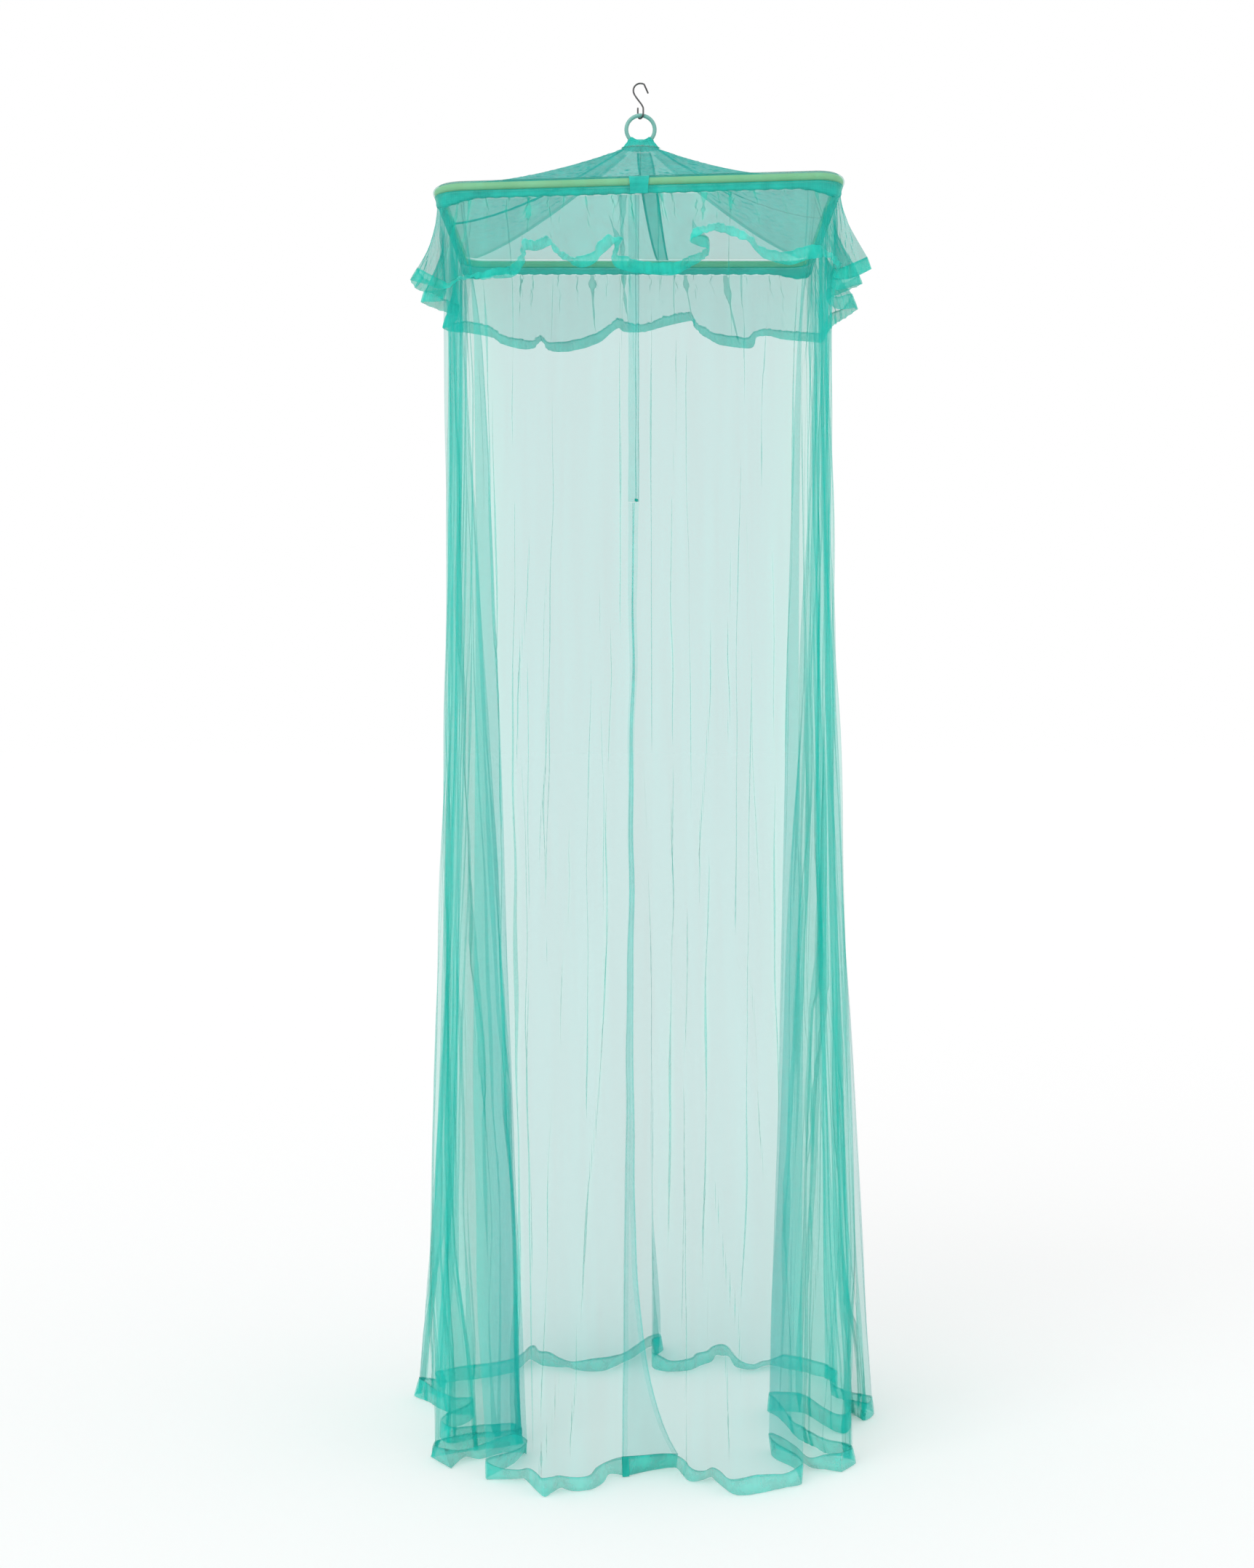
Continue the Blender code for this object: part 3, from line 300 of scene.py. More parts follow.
# Pressed folds that show as darker lines. Each has the pixels of its ends and its widths there in metres.
WALL_CREASES = {
    "front_left": (
        (668, 440, 689, 1100, 0.0035, 0.003), (677, 560, 695, 1500, 0.0015, 0.003),
        (708, 700, 712, 1800, 0.001, 0.007), (726, 790, 712, 1010, 0.001, 0.002),
        (752, 980, 748, 1250, 0.001, 0.0014), (840, 900, 833, 1330, 0.001, 0.0022),
        (834, 1300, 800, 1760, 0.002, 0.003), (777, 1870, 741, 2016, 0.001, 0.004),
        (796, 1830, 786, 1940, 0.001, 0.0022), (856, 268, 858, 420, 0.012, 0.001),
        (782, 1180, 770, 1420, 0.001, 0.0014), (760, 1500, 745, 1900, 0.001, 0.0018),
    ),
    "front_right": (
        (906, 266, 905, 330, 0.005, 0.001), (926, 640, 924, 1180, 0.001, 0.0014),
        (923, 1150, 919, 1680, 0.001, 0.004), (1004, 800, 1001, 1000, 0.001, 0.0014),
        (977, 880, 962, 1200, 0.001, 0.0014), (975, 1220, 968, 1680, 0.002, 0.003),
        (1062, 780, 1071, 1500, 0.001, 0.003), (1030, 1340, 1050, 1600, 0.001, 0.002),
        (1094, 430, 1080, 1000, 0.004, 0.002), (986, 1680, 1016, 1860, 0.001, 0.0018),
        (996, 1880, 999, 1965, 0.001, 0.0022), (944, 1300, 938, 1800, 0.001, 0.0014),
    ),
    "rear": (
        (893, 1560, 902, 1852, 0.003, 0.028), (884, 1010, 897, 1560, 0.0004, 0.004),
        (760, 400, 752, 1300, 0.001, 0.0014), (812, 900, 806, 1500, 0.001, 0.0018),
        (944, 500, 950, 1100, 0.001, 0.0014), (1018, 600, 1010, 1250, 0.001, 0.0018),
        (714, 900, 730, 1700, 0.001, 0.002), (1034, 900, 1020, 1750, 0.001, 0.002),
    ),
}

# Flattened gathers of the frill: share of the half side, width at the seam, share of the length reached
FRILL_GATHERS = {
    "front": (
        (-0.56, 0.022, 0.62), (0.33, 0.020, 0.7), (0.46, 0.016, 0.66), (0.12, 0.006, 0.5),
        (-0.04, 0.007, 0.8), (-0.92, 0.008, 0.85), (-0.86, 0.007, 0.7), (0.90, 0.008, 0.8),
    ),
    "rear": (
        (0.27, 0.022, 0.78), (0.08, 0.016, 0.9), (-0.29, 0.020, 0.8), (-0.53, 0.027, 0.9),
        (0.70, 0.008, 0.6),
    ),
    "left": (
        (-0.8, 0.008, 0.8), (-0.4, 0.012, 0.7), (-0.1, 0.008, 0.6), (0.3, 0.012, 0.8),
        (0.7, 0.010, 0.7),
    ),
    "right": (
        (-0.7, 0.010, 0.8), (-0.3, 0.012, 0.7), (0.1, 0.008, 0.6), (0.4, 0.012, 0.8),
        (0.8, 0.010, 0.7),
    ),
}

# Hems of the side frills in the photograph, going round to the right: share of the half side, then pixels
# of the seam and of the lower edge.
SIDE_FRILL_HEMS = {
    "right": (
        (-1, 1192, 353, 1198, 370), (-0.85, 1165, 366, 1170, 382), (-0.7, 1146, 370, 1143, 387),
        (-0.55, 1152, 384, 1150, 399), (-0.4, 1181, 378, 1183, 391), (-0.2, 1160, 390, 1160, 402),
        (-0.05, 1138, 398, 1138, 413), (0.1, 1150, 408, 1152, 425), (0.25, 1170, 404, 1178, 424),
        (0.45, 1160, 423, 1164, 436), (0.7, 1142, 432, 1144, 449), (1, 1128, 458, 1130, 472),
    ),
    "left": (
        (-1, 640, 441, 638, 457), (-0.75, 622, 444, 620, 456), (-0.55, 614, 435, 609, 451),
        (-0.35, 619, 432, 619, 449), (-0.15, 630, 420, 627, 437), (0, 621, 416, 620, 432),
        (0.15, 602, 407, 600, 425), (0.3, 584, 401, 580, 416), (0.45, 598, 399, 596, 415),
        (0.6, 613, 396, 608, 413), (0.75, 600, 390, 597, 405), (0.88, 582, 382, 574, 398),
        (1, 574, 368, 564, 385),
    ),
}

# Fineness
COLUMN_STEP = 0.0018
WALL_ROWS = {"front_left": 72, "front_right": 72, "rear": 66, "left": 48, "right": 48}
NET_PITCH = 0.0016
FRILL_ROWS = 16
FOLD_LIFT = 0.0005
FOLD_LEAST = 0.0006
DOME_STEPS = (0.35, 0.7, 0.95)

# Ripples: wavelengths and heights of the walls, of the side walls' broad swells and of the frill
WALL_WAVES = ((0.0055, 0.00042), (0.0079, 0.00055), (0.0113, 0.0007), (0.019, 0.0011), (0.031, 0.0018))
BROAD_WAVES = ((0.037, 0.0026), (0.059, 0.0036))
FRILL_WAVES = ((0.0065, 0.0005), (0.0093, 0.0007), (0.0151, 0.0009), (0.027, 0.0012))
SETTLE = 0.75
SETTLE_FROM = 0.88
SETTLE_EASE = 0.1

# How the frill falls from the casing at the left and at the right, and how its corners meet
FRILL_FALLS = (0.30, 0.14)
FRILL_FALL_EASE = 0.2
CORNER_HOLD = 0.2

# Where the walls' corner bundles, many layers deep, are painted brighter: painted light standing in for light
# that passes through the layers
PAINTED_GLOW_FROM = 0.20
PAINTED_GLOW_EASE = 0.06
PAINTED_GLOW_RIM = 0.292
PAINTED_GLOW_FLARE = 0.053
PAINTED_GLOW_RIM_EASE = 0.012

# A hem's half thickness, its swell, and where its turned-in edge ends
HEM_HALF = 0.0008
HEM_SWELL = 0.0004
HEM_TURN_IN = (0.14, -0.0004)

# Small folds scattered over the walls and the frill: number, seed, widths, lengths as shares of the cloth's
# height, and whether they start at its top
SIDE_WALL_SCATTER = (
    (24, 40, (0.0014, 0.0030), (0.05, 0.2), True),
    (20, 60, (0.0014, 0.0055), (0.3, 0.9), False),
    (9, 100, (0.004, 0.009), (0.6, 0.9), False),
    (13, 120, (0.007, 0.016), (0.45, 0.7), False),
)
WALL_SCATTER = {
    "left": SIDE_WALL_SCATTER,
    "right": SIDE_WALL_SCATTER,
    "front": ((4, 40, (0.0014, 0.0032), (0.1, 0.3), True), (3, 60, (0.0012, 0.0024), (0.2, 0.6), False)),
    "rear": ((4, 40, (0.0014, 0.0032), (0.1, 0.3), True), (5, 60, (0.0012, 0.0024), (0.2, 0.6), False)),
}
FRILL_SCATTER = (16, 80, (0.0012, 0.0034), (0.3, 0.9), True)
SCATTER_MARGIN = 0.03
SCATTER_STRAY = 0.35
SCATTER_STARTS = (0.02, 0.7)
SCATTER_SLANT = 0.015
SCATTER_WANDER = 0.005

# How finely pressed folds are cut
MEASURED_ROW = 0.6
FOLD_ROOM = 1.7
FINEST_STEP = 0.0004
COLUMN_GRAIN = 0.0003
CALM_EDGE = 0.02

# Small forms of the ring, the cuff, the roof and the door
RING_STEPS = 96
RING_SIDES = 24
CUFF_COLUMNS = 220
CUFF_ROWS = 22
CUFF_EASE = 0.6
CUFF_TOP_MOST = 1.25
CUFF_TOP_LEAST = 0.92
CUFF_OVER_RING = (0.0006, 0.0012)
CUFF_DRAWN_IN = (0.8, 0.5, 0.2)
STITCH_EVERY = 5
STITCH_LENGTH = 3
STITCH_HALF = 0.0004
ROOF_ROWS = 90
ROOF_COLUMNS = 105
ROOF_FOLD_STEP = 0.0012
ROOF_CRINKLE = 0.0013
ROOF_PLEAT = 0.0016
ROOF_SAG = 0.004
CRINKLE_LENGTHS = (0.0085, 0.0105, 0.013, 0.017, 0.024)
CRINKLE_WAYS = 3
TAPE_SPAN = (0.02, 0.985)
STRAP_STEPS = (-1, -0.72, -1, -0.5, 0, 0.5, 1, 0.72, 1)
STRAP_DROPS = (0.0016, 0.0020, 0.0024, 0.0025, 0.0026, 0.0025, 0.0024, 0.0020, 0.0016)
SLEEVE_TURNS = (-50, 230)
BAND_TURNS = (-46, -54, -62)
BAND_OVER_SLEEVE = 0.0003
BAND_JAG = 0.0006
BAND_JAG_WAVES = ((0.0035, 1.0), (0.0052, 0.5))
TAB_OVER_SLEEVE = 0.0010
TACK_LOOPS = 4
TACK_REACH = 0.0022
TACK_RISE = 0.004
TACK_THREAD = 0.00055
SEAM_COLUMNS = (-0.008, -0.003, 0.0026, 0.0038, 0.0025, 0.0037, 0.0058, 0.008, 0.0070, 0.0080)
EDGE_STATIONS = (
    (0.008, 0.0019), (0.0045, 0.0022), (0.0022, 0.0022), (0.0004, 0.0021), (0.0, 0.0017),
    (0.0005, 0.0012), (0.0022, 0.0014), (0.0021, 0.0017), (0.0006, 0.0016),
)
TAB_STATIONS = (
    (0.010, 0), (0.006, 0.0006), (0.002, 0.0006), (-0.0006, 0.0002), (-0.0006, -0.001), (0.002, -0.0014),
)
PARTING_HEIGHT = 0.02
PARTING_WIDTH = 0.16
STITCH_ROWS = ((0.62, 0.09), (0.86, 0.08))
STITCH_PINCH = 0.05
CUFF_GATHER_EASE = 0.55
TAPE_DROP = 0.0015

# Net and hem materials. A net has its colour, a brighter colour painted where its layers lie together
# (painted light, standing in for light that passes through the layers), and its opacity.
NET_SHADES = (0.88, 1.15)
THREAD_TINT = (0.55, 0.72, 0.72, 1.0)
BAND_PITCH = 0.0035
BAND_KNIT = (-0.3, 1.1)
NETS = {
    "wall": ((0.0, 0.53, 0.49), (0.0, 0.70, 0.585), 0.22),
    "roof": ((0.0, 0.46, 0.40), (0.0, 0.70, 0.55), 0.68),
    "roof_rear": ((0.0, 0.53, 0.47), (0.0, 0.70, 0.55), 0.43),
    "frill": ((0.0, 0.57, 0.48), (0.0, 0.74, 0.58), 0.29),
    "frill_side": ((0.0, 0.57, 0.48), (0.0, 0.72, 0.57), 0.47),
    "sleeve": ((0.0, 0.56, 0.46), (0.0, 0.7, 0.55), 0.30),
}
# A hem has its colour and opacity, a plastic its two colours, roughness and coat.
HEMS = {
    "floor_hem": ((0.005, 0.68, 0.58), 0.42),
    "frill_hem": ((0.005, 0.68, 0.56), 0.47),
    "casing_band": ((0.0, 0.50, 0.41), 0.80, BAND_PITCH, BAND_KNIT),
    "trim": ((0.0, 0.62, 0.53), 0.30),
    "tape": ((0.0, 0.42, 0.35), 0.60),
    "edge": ((0.01, 0.70, 0.60), 0.17),
    "gathered": ((0.01, 0.55, 0.46), 0.88),
    "thread": ((0.0, 0.45, 0.37), 0.95),
}

PLASTICS = {
    "teal_plastic": ((0.17, 0.44, 0.39), (0.22, 0.50, 0.44), 0.42, 0.15),
    "lime_plastic": ((0.36, 0.64, 0.26), (0.42, 0.70, 0.32), 0.45, 0.1),
}

# Stage and light
STAGE_REACH = 90
STAGE_GAP = 0.0005
FLOOR_COLOUR = (0.93, 0.94, 0.95)
WORLD_LIGHT = 0.75
LAMPS = (  # name, aim, spread in degrees, strength
    ("key", (0.45, 0.75, -0.62), 50, 0.9),
    ("fill", (-0.7, 0.5, -0.35), 90, 0.3),
)
LAYERS_SEEN_THROUGH = 96
SENSOR = 36
CLIP_END = 200


def mix(a, b, share):
    return a + (b - a) * share


def smooth_step(value):
    value = np.clip(value, 0.0, 1.0)
    return value * value * (3 - 2 * value)


def turned(side, x, y):
    """Plan points of the front side, turned to another side, counted to the right."""
    return ((x, y), (-y, x), (-x, -y), (y, -x))[side]


def tilt(x, y):
    """How much higher the frame hangs here, as its near side slopes and its far side is level."""
    return NEAR_SIDE_SLOPE * x * (0.5 - y / (2 * FRAME_HALF))


def perimeter(side, share, offset):
    """Plan points on the frame's centreline moved outwards, and the outward directions."""
    reach = np.asarray(share, float) * SIDE_HALF
    turn = np.maximum(0.0, np.abs(reach) - STRAIGHT_HALF) / CORNER_RADIUS
    nx = np.sign(reach) * np.sin(turn)
    ny = -np.cos(turn)
    x = np.where(turn > 0, np.sign(reach) * STRAIGHT_HALF + nx * (CORNER_RADIUS + offset), reach)
    y = -STRAIGHT_HALF + ny * (CORNER_RADIUS + offset)
    return turned(side, x, y), turned(side, nx, ny)


def along_curve(table, t):
    """Rows of a table read at places between its lines, on a smooth curve through them."""
    table = np.asarray(table, float)
    t = np.clip(t, 0, len(table) - 1)
    k = np.minimum(t.astype(int), len(table) - 2)
    f = (t - k)[:, None]
    p0 = table[np.maximum(k - 1, 0)]
    p1 = table[k]
    p2 = table[k + 1]
    p3 = table[np.minimum(k + 2, len(table) - 1)]
    return 0.5 * (
        2 * p1 + (p2 - p0) * f + (2 * p0 - 5 * p1 + 4 * p2 - p3) * f**2 + (3 * p1 - p0 - 3 * p2 + p3) * f**3
    )


def pixel_ray(px, py):
    """Direction from the camera through a pixel, for each metre of depth."""
    px = np.asarray(px, float)
    py = np.asarray(py, float)
    return np.stack(
        [(px - IMAGE_CENTRE_X) / FOCAL, np.ones_like(px), (HORIZON_Y - py) / FOCAL], axis=-1
    )


def reach_along_ray(px, py, anchor, length, away):
    """Points seen at these pixels that lie this far from their anchors, on the near or the far side."""
    ray = pixel_ray(px, py)
    gap = CAMERA - anchor
    a = (ray * ray).sum(-1)
    b = (ray * gap).sum(-1)
    c = (gap * gap).sum(-1) - length**2
    root = np.sqrt(np.maximum(b * b - a * c, 0.0))
    depth = (-b + (root if away else -root)) / a
    return CAMERA + ray * depth[..., None]


def to_pixels(points):
    """Pixels at which the camera sees these points."""
    depth = points[..., 1] - CAMERA[1]
    px = IMAGE_CENTRE_X + (points[..., 0] - CAMERA[0]) * FOCAL / depth
    py = HORIZON_Y - (points[..., 2] - CAMERA[2]) * FOCAL / depth
    return px, py


def ripple(place, waves, seed):
    """A sum of sines of these wavelengths and heights along a line, always the same for a seed."""
    chance = np.random.default_rng(seed)
    total = np.zeros_like(place)
    for length, height in waves:
        total += height * np.sin(2 * np.pi * place / length + chance.uniform(0, 2 * np.pi))
    return total


# Materials

def nodes_of(name, colour, roughness, metallic=0.0, alpha=1.0):
    """A new Principled material, with its node tree and shader."""
    material = bpy.data.materials.new(name)
    material.use_nodes = True
    tree = material.node_tree
    shader = tree.nodes["Principled BSDF"]
    shader.inputs["Base Color"].default_value = (*colour, 1.0)
    shader.inputs["Roughness"].default_value = roughness
    shader.inputs["Metallic"].default_value = metallic
    shader.inputs["Alpha"].default_value = alpha
    return material, tree, shader


def node_of(tree, kind, **settings):
    """A new node, each of whose named inputs gets a value or another node's output."""
    node = tree.nodes.new("ShaderNode" + kind)
    for key, value in settings.items():
        socket = node.inputs[key.replace("_", " ")]
        if isinstance(value, bpy.types.NodeSocket):
            tree.links.new(value, socket)
        else:
            socket.default_value = value
    return node


def place_of(tree, stretch):
    """Places on the object, in metres, scaled along each axis."""
    place = node_of(tree, "TexCoord").outputs["Object"]
    return node_of(tree, "Mapping", Scale=stretch, Vector=place).outputs["Vector"]


def noise_of(tree, stretch, detail=2.0):
    """A soft noise from 0 to 1 with this many swings to the metre along each axis."""
    place = place_of(tree, stretch)
    return node_of(tree, "TexNoise", Scale=1.0, Detail=detail, Vector=place).outputs["Fac"]


def ramp_of(tree, value, low, high):
    """A value read between two limits as 0 to 1."""
    return node_of(tree, "MapRange", From_Min=low, From_Max=high, Value=value).outputs["Result"]


def blend_of(tree, share, first, second):
    """A colour between two others, either of which may be a colour or another node's output."""
    mixer = tree.nodes.new("ShaderNodeMix")
    mixer.data_type = "RGBA"
    tree.links.new(share, mixer.inputs["Factor"])
    for key, colour in (("A", first), ("B", second)):
        socket = next(s for s in mixer.inputs if s.name == key and s.type == "RGBA")
        if isinstance(colour, tuple):
            socket.default_value = (*colour, 1.0)
        else:
            tree.links.new(colour, socket)
    return next(s for s in mixer.outputs if s.type == "RGBA")


def bump_of(tree, shader, height, distance, strength):
    """Gives the shader a fine relief."""
    bump = node_of(tree, "Bump", Distance=distance, Strength=strength, Height=height)
    tree.links.new(bump.outputs["Normal"], shader.inputs["Normal"])


def mesh_holes(tree, pitch):
    """Distance to the nearest hole of a knitted mesh, in shares of its pitch."""
    place = place_of(tree, (1 / pitch,) * 3)
    return node_of(tree, "TexVoronoi", Scale=1.0, Randomness=0.35, Vector=place).outputs["Distance"]


def net_material(name, colour, lit, alpha, pitch=NET_PITCH):
    """See-through knitted net with streaks, grain and a relief, painted brighter where its layers lie
    together: painted light that stands in for light passing through the layers.
    """
    material, tree, shader = nodes_of(name, colour, 0.75, alpha=alpha)
    streaks = ramp_of(tree, noise_of(tree, (55, 55, 2.2), 3), 0.3, 0.7)
    grain = ramp_of(tree, noise_of(tree, (520, 520, 520), 1), 0.3, 0.7)
    # Painted light: where layers lie together the net is painted in its brighter colour, standing in for
    # light that passes through the layers.
    painted_glow_share = tree.nodes.new("ShaderNodeAttribute")
    painted_glow_share.attribute_name = "painted_glow"
    shades = []
    for share in NET_SHADES:
        open_net = tuple(c * share for c in colour)
        painted_lit_net = tuple(c * share for c in lit)
        shades.append(blend_of(tree, painted_glow_share.outputs["Fac"], open_net, painted_lit_net))
    body = blend_of(tree, streaks, *shades)
    thread = tree.nodes.new("ShaderNodeMix")
    thread.data_type = "RGBA"
    thread.blend_type = "MULTIPLY"
    sockets = [socket for socket in thread.inputs if socket.type == "RGBA"]
    tree.links.new(body, sockets[0])
    sockets[1].default_value = THREAD_TINT
    tree.links.new(ramp_of(tree, grain, 1.0, -0.5), thread.inputs["Factor"])
    tree.links.new(next(s for s in thread.outputs if s.type == "RGBA"), shader.inputs["Base Color"])
    tree.links.new(ramp_of(tree, grain, -2.0, 1.6), shader.inputs["Roughness"])
    shader.inputs["Sheen Weight"].default_value = 0.08
    shader.inputs["Specular IOR Level"].default_value = 0.25
    bump_of(tree, shader, mesh_holes(tree, pitch), 0.0004, 0.35)
    return material


def hem_material(name, colour, alpha, pitch=NET_PITCH, knit=(-1.2, 1.4)):
    """Net doubled over and stitched: dense, with lighter and darker patches where layers cross."""
    dark = tuple(c * 0.72 for c in colour)
    light = tuple(min(1.0, c * 1.2 + 0.01) for c in colour)
    material, tree, shader = nodes_of(name, colour, 0.7, alpha=alpha)
    patches = ramp_of(tree, noise_of(tree, (38, 38, 38), 3), 0.32, 0.68)
    weave = ramp_of(tree, mesh_holes(tree, pitch), 0.05, 0.75)
    body = blend_of(tree, patches, dark, light)
    shader_colour = blend_of(tree, ramp_of(tree, weave, *knit), light, body)
    tree.links.new(shader_colour, shader.inputs["Base Color"])
    tree.links.new(ramp_of(tree, weave, -1.6, 1.8), shader.inputs["Roughness"])
    shader.inputs["Sheen Weight"].default_value = 0.1
    shader.inputs["Specular IOR Level"].default_value = 0.3
    bump_of(tree, shader, weave, 0.0004, 0.25)
    return material


def plastic_material(name, colour, pale, roughness, coat):
    """Moulded plastic with faint clouding and a smooth skin."""
    material, tree, shader = nodes_of(name, colour, roughness)
    cloud = ramp_of(tree, noise_of(tree, (30, 30, 30), 3), 0.3, 0.7)
    tree.links.new(blend_of(tree, cloud, colour, pale), shader.inputs["Base Color"])
    fine = noise_of(tree, (260, 260, 260), 2)
    tree.links.new(ramp_of(tree, fine, -1.2 + roughness, 2.6), shader.inputs["Roughness"])
    shader.inputs["Coat Weight"].default_value = coat
    shader.inputs["Coat Roughness"].default_value = 0.15
    bump_of(tree, shader, fine, 0.0002, 0.12)
    return material


def steel_material():
    """Dark bent wire, a little rubbed."""
    material, tree, shader = nodes_of("dark_steel", (0.10, 0.10, 0.10), 0.4, metallic=1.0)
    wear = ramp_of(tree, noise_of(tree, (300, 300, 90), 3), 0.35, 0.75)
    rubbed = blend_of(tree, wear, (0.055, 0.055, 0.058), (0.20, 0.20, 0.20))
    tree.links.new(rubbed, shader.inputs["Base Color"])
    tree.links.new(ramp_of(tree, wear, -1.0, 2.2), shader.inputs["Roughness"])
    bump_of(tree, shader, wear, 0.0002, 0.2)
    return material


# Mesh helpers

def new_piece(name, points, faces, material, body, painted_glow=None):
    """A smooth mesh that rides on a body of the frame. Where layers of the cloth lie together, a share is
    stored for the net's painted light, which paints them brighter.
    """
    mesh = bpy.data.meshes.new(name)
    mesh.from_pydata([tuple(p) for p in points], [], faces)
    if painted_glow is not None:
        attribute = mesh.attributes.new("painted_glow", "FLOAT", "POINT")
        attribute.data.foreach_set("value", np.asarray(painted_glow, np.float32).ravel())
    mesh.materials.append(material)
    mesh.shade_smooth()
    obj = bpy.data.objects.new(name, mesh)
    bpy.context.scene.collection.objects.link(obj)
    if body:
        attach(obj, body)
    return obj


def grid_faces(rows, columns, closed=False):
    """Quads of a grid of points, whose columns may close on themselves."""
    faces = []
    last = columns if closed else columns - 1
    for r in range(rows - 1):
        for c in range(last):
            a = r * columns + c
            b = r * columns + (c + 1) % columns
            faces.append((a, b, b + columns, a + columns))
    return faces


def grid_piece(name, grid, material, body, closed=False, painted_glow=None):
    """A cloth through a grid of points, rows by columns."""
    grid = np.asarray(grid, float)
    rows, columns = grid.shape[:2]
    faces = grid_faces(rows, columns, closed)
    return new_piece(name, grid.reshape(-1, 3), faces, material, body, painted_glow)


def shifted(grid):
    """The net and its frame hang a little to the left of the hook."""
    grid = np.array(grid, float)
    grid[..., 0] += FRAME_SHIFT
    return grid


def tube_along(name, path, radius, sides, material, body, closed=False):
    """A round tube along points, with domed ends unless it closes on itself."""
    path = np.asarray(path, float)
    count = len(path)
    if closed:
        along = np.roll(path, -1, 0) - np.roll(path, 1, 0)
    else:
        along = np.gradient(path, axis=0)
    along /= np.linalg.norm(along, axis=1)[:, None]
    side = np.cross(along[0], (0.0, 1.0, 0.0))
    if np.linalg.norm(side) < 0.1:
        side = np.cross(along[0], (1.0, 0.0, 0.0))
    rings = []
    for k in range(count):
        side = side - along[k] * side.dot(along[k])
        side /= np.linalg.norm(side)
        up = np.cross(along[k], side)
        angles = 2 * np.pi * np.arange(sides) / sides
        rings.append((path[k], along[k], side * np.cos(angles)[:, None] + up * np.sin(angles)[:, None]))
    grid = [place + circle * radius for place, _, circle in rings]
    if closed:
        grid.append(grid[0])
        return grid_piece(name, grid, material, body, closed=True)
    for share in DOME_STEPS:
        past = radius * math.sin(share * math.pi / 2)
        width = radius * math.cos(share * math.pi / 2)
        place, way, circle = rings[0]
        grid.insert(0, place - way * past + circle * width)
        place, way, circle = rings[-1]
        grid.append(place + way * past + circle * width)
    grid = np.array(grid)
    faces = grid_faces(len(grid), sides, closed=True)
    faces.append(tuple(range(sides - 1, -1, -1)))
    last = (len(grid) - 1) * sides
    faces.append(tuple(range(last, last + sides)))
    return new_piece(name, grid.reshape(-1, 3), faces, material, body)


# Hook, ring and cuff

def build_hook(material):
    """The wire hook, on the same route as the part's, rounder and with eased ends."""
    mouth = Vector((0, 0, WIRE_RADIUS - HOOK_MOUTH_RADIUS))
    eye = Vector((0, 0, HOOK_FOOT_Z + HOOK_EYE_RADIUS))
    across = Vector((math.cos(HOOK_EYE_TURN), math.sin(HOOK_EYE_TURN), 0))
    lean = HOOK_TOP_ANGLE - math.pi / 2 - HOOK_TIP_BEND
    shoulder = mouth + HOOK_MOUTH_RADIUS * Vector((math.cos(HOOK_TOP_ANGLE), 0, math.sin(HOOK_TOP_ANGLE)))
    tip = Vector((math.cos(lean), 0, math.sin(lean)))
    route = [shoulder + tip * HOOK_TIP_LEG * share for share in HOOK_TIP_STEPS]
    for k in range(25):
        angle = mix(HOOK_TOP_ANGLE, HOOK_MOUTH_END, k / 24)
        route.append(mouth + HOOK_MOUTH_RADIUS * Vector((math.cos(angle), 0, math.sin(angle))))
    start = route[-1]
    start_pull = Vector(HOOK_SHANK_WAY) * HOOK_HEIGHT * HOOK_LEG_PULLS[0]
    finish = eye + across * HOOK_EYE_RADIUS + Vector((0, 0, HOOK_EYE_RADIUS))
    finish_pull = Vector((0, 0, -1)) * HOOK_HEIGHT * HOOK_LEG_PULLS[1]
    for k in range(1, 20):
        t = k / 19
        route.append(
            start * (2 * t**3 - 3 * t**2 + 1)
            + start_pull * (t**3 - 2 * t**2 + t)
            + finish * (3 * t**2 - 2 * t**3)
            + finish_pull * (t**3 - t**2)
        )
    for k in range(17):
        angle = math.pi * k / 16
        route.append(eye + HOOK_EYE_RADIUS * (across * math.cos(angle) - Vector((0, 0, math.sin(angle)))))
    foot = route[-1]
    for share in (HOOK_SHORT_LEG_BEND, 1.0):
        route.append(foot + Vector((0, 0, HOOK_SHORT_LEG * share)))
    hook = tube_along("hook_wire", [tuple(p) for p in route], WIRE_RADIUS, 14, material, "hook")
    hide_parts("s_hook")


def build_ring(material):
    """The moulded ring, with a faint parting line round its outside."""
    grid = []
    for k in range(RING_STEPS + 1):
        angle = 2 * math.pi * k / RING_STEPS
        row = []
        for j in range(RING_SIDES):
            turn = 2 * math.pi * j / RING_SIDES
            parting = math.exp(-((math.sin(turn) / PARTING_WIDTH) ** 2)) * (math.cos(turn) > 0)
            radius = RING_SECTION_RADIUS * (1 + PARTING_HEIGHT * parting)
            reach = RING_RADIUS + radius * math.cos(turn)
            z = RING_CENTRE_Z + reach * math.sin(angle)
            row.append((reach * math.cos(angle), radius * math.sin(turn), z))
        grid.append(row)
    ring = grid_piece("ring_moulding", grid, material, "ring", closed=True)
    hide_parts("hanging_ring")


def over_ring(x, lift):
    """Height of a cloth that lies over the ring's lower arc, seen from inside the ring."""
    inside = RING_RADIUS - RING_SECTION_RADIUS - CLOTH_GAP
    return RING_CENTRE_Z - np.sqrt(np.maximum(0.0, inside**2 - x**2)) + lift


